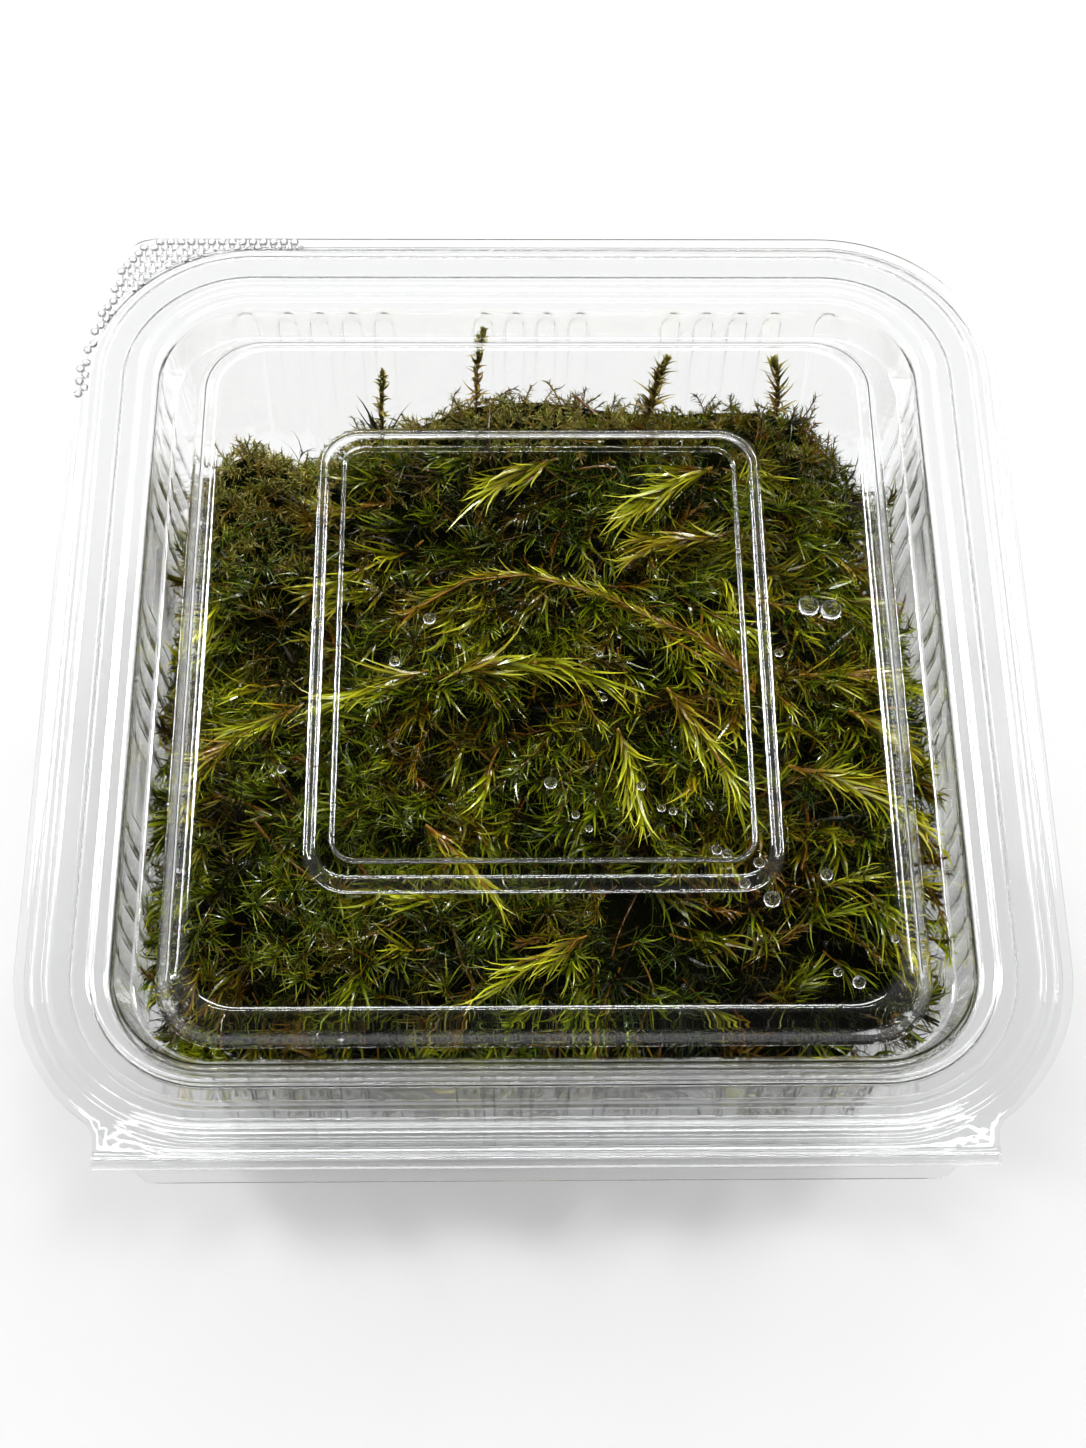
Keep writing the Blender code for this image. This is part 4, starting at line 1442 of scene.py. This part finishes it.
def upper_places(piece, depth, step):
    """Points of a moss piece that lie near the mat's outside, in millimetres."""
    found = np.empty(3 * len(piece.data.vertices))
    piece.data.vertices.foreach_get("co", found)
    found = found.reshape(-1, 3)[::step]
    near = [p for p in found
            if (mat_surface.find_nearest(Vector(p))[3] or 1) < depth * MM]
    return np.array(near) / MM


ball = bmesh.new()
bmesh.ops.create_uvsphere(ball, u_segments=8, v_segments=5, radius=MM)
ball_mesh = bpy.data.meshes.new("bead")
ball.to_mesh(ball_mesh)
ball.free()
ball_object = bpy.data.objects.new("bead", ball_mesh)
BEADS, BEAD_DEPTH, POINTS_PER_BEAD = 1100, 1.6, 37
LEAST_BEAD, BEAD_SPREAD = 0.16, 0.36    # radii
chosen = upper_places(bpy.data.objects["moss_fresh"], BEAD_DEPTH, POINTS_PER_BEAD)
rng.shuffle(chosen)
chosen = chosen[:BEADS]
bead_sizes = LEAST_BEAD + BEAD_SPREAD * rng.random(len(chosen)) ** 2
mesh = beads("beads", chosen, bead_sizes, ball_object, dew)
specks = lets_light_in(placed("water_beads", mesh, "tray_body", "clear_sheet"))
print("water beads:", len(chosen), "with", triangles(specks), "triangles")

# %% [markdown]
# ## The fold
#
# Tray and lid are one sheet, and a strip of it folds along the front edge. On a rigid
# body the strip would tear when the lid opens, so it is a thin bent sheet of its own, on
# neither body.

# %% Fold along the front edge
FOLD_LINE = ((-74.4, 44.78), (-75.2, 44.8), (-75.9, 44.6), (-76.35, 44.1), (-76.4, 43.5),
             (-76.1, 42.95), (-75.6, 42.7), (-75.0, 42.95))
FOLD_HALF_SHEET = 0.11
fold_curve = smooth_path([(0.0, y, z) for y, z in FOLD_LINE], 22)[:, 1:]
outward = FOLD_HALF_SHEET * (unit(np.gradient(fold_curve, axis=0))[:, ::-1] * (1, -1))
stations = np.linspace(-EAR_X + 0.1, EAR_X - 0.1, 60)
around = np.vstack([fold_curve + outward, (fold_curve - outward)[::-1]])
points = [(x, y, z) for x in stations for y, z in around]
n = len(around)
faces = [(s * n + i, s * n + (i + 1) % n, (s + 1) * n + (i + 1) % n, (s + 1) * n + i)
         for s in range(len(stations) - 1) for i in range(n)]
faces += [tuple(reversed(range(n))), tuple(range((len(stations) - 1) * n, len(stations) * n))]
mesh = mesh_of("fold", points, faces, clear)
mesh.set_sharp_from_angle(angle=math.radians(45))
fold = lets_light_in(linked("box_fold", mesh))
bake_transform(fold)
print("box_fold:", triangles(fold), "triangles")

# %% [markdown]
# ## Dimples on the grip tab
#
# Small bumps on the tab give the fingers a hold. A bump map would be lost in the meshes
# and wouldn't bend light, so each is a low clear dome. They stand in staggered rows, only
# where a whole dome fits between the tab's edge and the lid's raised rim, and the same
# tree that puts the beads puts them.

# %% Dimples on the grip tab
edge_ring = reshaped_edge(ring_size(0.0, 44.5), lid_places, lid_reach)[:, :2]
rim_ring = ring_points(ring_size(2.4, 44.5), lid_places)[:, :2]


def inside_loop(loop, x, y):
    """Whether a place is inside a closed loop of points."""
    a, b = loop, np.roll(loop, -1, axis=0)
    crosses = (a[:, 1] > y) != (b[:, 1] > y)
    run = np.divide((b[:, 0] - a[:, 0]) * (y - a[:, 1]), b[:, 1] - a[:, 1],
                    out=np.zeros(len(a)), where=crosses)
    return bool(np.sum(crosses & (x < a[:, 0] + run)) % 2)


DIMPLE_PITCH, DIMPLE_ROW = 1.66, 1.2
DIMPLE_RADIUS, DIMPLE_RISE = 0.72, 0.3
FIRST_ROW = 0.75                                # in from the back edge
TAB_END_X, TAB_END_Y = -38.0, 47.0
EDGE_TESTS = ((0, 0.6), (-0.6, 0), (-0.45, 0.35))
RIM_TEST = (0.25, -0.25)

points, faces = dome(0.0, 0.0, 0.0, DIMPLE_RADIUS, -DIMPLE_RISE, around=12, rows=5)
dimple_mesh = mesh_of("dimple", points, [tuple(reversed(face)) for face in faces])
dimple_object = bpy.data.objects.new("dimple", dimple_mesh)

lattice = []
for row in range(int((BACK_Y - TAB_END_Y) / DIMPLE_ROW) + 1):
    for column in range(26):
        x = -HALF_WIDTH + DIMPLE_PITCH * (column + 0.5 * (row % 2))
        y = BACK_Y - FIRST_ROW - DIMPLE_ROW * row
        clear_of_edge = all(inside_loop(edge_ring, x + dx, y + dy) for dx, dy in EDGE_TESTS)
        on_rim = inside_loop(rim_ring, x + RIM_TEST[0], y + RIM_TEST[1])
        if clear_of_edge and not on_rim and x < TAB_END_X:
            lattice.append((x, y, LID_FLANGE_Z + SHEET / 2 + 0.01))
mesh = beads("dimples", lattice, np.ones(len(lattice)), dimple_object, clear)
dimples = lets_light_in(placed("tab_dimples", mesh, "lid_body", "clear_sheet"))
print("tab_dimples:", len(lattice), "with", triangles(dimples), "triangles")

# %% [markdown]
# ## Studio
#
# A clear box is hard to light: it shows only what it reflects. The flat top mirrors one
# patch of sky above the back, and that patch is nearly black, so we look through the lid
# and not at it. Narrow lights above, behind and at both sides draw thin white lines along
# the rounded steps. Two stronger lights high at the back corners put the shadow in front.
# The floor glows a little, so that it stays white under the clear rims.

# %% Floor, world and lights
floor_paint, floor_shader = principled("floor_paint", (0.425, 0.425, 0.425), 0.8)
floor_shader.inputs["Emission Color"].default_value = (1.0, 1.0, 1.0, 1.0)
floor_shader.inputs["Emission Strength"].default_value = 0.22
REACH = 30000.0
corners = ((-REACH, -REACH, 0.0), (REACH, -REACH, 0.0), (REACH, REACH, 0.0), (-REACH, REACH, 0.0))
floor = linked("floor", mesh_of("floor", corners, [(0, 1, 2, 3)], floor_paint, smooth=False))

world = bpy.data.worlds.new("studio")
world.use_nodes = True
sky = world.node_tree
background = sky.nodes["Background"]
direction = add_node(sky, "ShaderNodeTexCoord").outputs["Generated"]
DARK_PATCH = (0.0, 0.469, 0.883)        # what the flat lid mirrors towards the camera
facing = add_node(sky, "ShaderNodeVectorMath", [(0, direction), (1, DARK_PATCH)],
                  operation="DOT_PRODUCT")
shade = ramp(sky, facing.outputs["Value"], (
    (0.86, (0.34, 0.34, 0.343)), (0.94, (0.1, 0.1, 0.1)), (0.98, (0.006, 0.006, 0.006))))
sky.links.new(shade, background.inputs["Color"])
towards_back = add_node(sky, "ShaderNodeSeparateXYZ", [(0, direction)]).outputs["Y"]
strength = add_node(sky, "ShaderNodeMapRange", [("Value", towards_back), ("From Min", -0.6),
                                                ("From Max", 0.1), ("To Min", 0.12)])
sky.links.new(strength.outputs["Result"], background.inputs["Strength"])
bpy.context.scene.world = world


# Each light's place in metres, size both ways, and watts
LIGHTS = {
    "over_light": ((0.0, 0.08, 1.24), 1.0, 0.07, 4.0),
    "over_strip": ((0.0, -0.15, 1.2), 1.0, 0.03, 3.77),
    "back_light": ((0.0, 1.6, 0.9), 2.4, 0.35, 8.0),
    "back_strip": ((0.0, 1.7, 0.75), 1.4, 0.05, 7.0),
    "left_strip": ((-0.90, 0.56, 0.57), 0.9, 0.08, 5.0),
    "right_strip": ((0.90, 0.56, 0.57), 0.9, 0.08, 5.0),
    "left_panel": ((-0.68, 0.62, 1.0), 0.24, 0.24, 9.0),
    "right_panel": ((0.68, 0.62, 1.0), 0.24, 0.24, 9.0),
}
for name, (place, width, depth, watts) in LIGHTS.items():
    data = bpy.data.lights.new(name, "AREA")
    data.shape = "RECTANGLE"
    data.size, data.size_y = width, depth
    data.energy = watts
    light = linked(name, data)
    light.location = place
    towards_box = Vector((0.0, 0.0, 0.0)) - Vector(place)
    light.rotation_euler = towards_box.to_track_quat("-Z", "Y").to_euler()
print("lights:", len(LIGHTS))

# %% [markdown]
# ### Camera
#
# The camera looks down over the front edge. Its place, turns and lens were fitted to the
# measured corners of the box, and they are plain numbers, so every render is the same.

# %% Camera
CAMERA_PLACE = Vector((-6.12, -167.99, 342.27)) * MM
CAMERA_TURN = (27.825, -0.896, -0.637)      # degrees: up from straight down, roll, and yaw
camera_data = bpy.data.cameras.new("camera")
camera_data.sensor_fit = "VERTICAL"
camera_data.sensor_height = 36.0
camera_data.lens = 57.95
camera_data.shift_x = -0.001
camera = linked("camera", camera_data)
camera.location = CAMERA_PLACE
camera.rotation_euler = [math.radians(angle) for angle in CAMERA_TURN]
scene = bpy.context.scene
scene.camera = camera
scene.view_settings.view_transform = "Standard"
scene.cycles.transmission_bounces = scene.cycles.max_bounces = 16
scene.cycles.diffuse_bounces = 3
print("camera at", tuple(round(c, 3) for c in CAMERA_PLACE), "m")
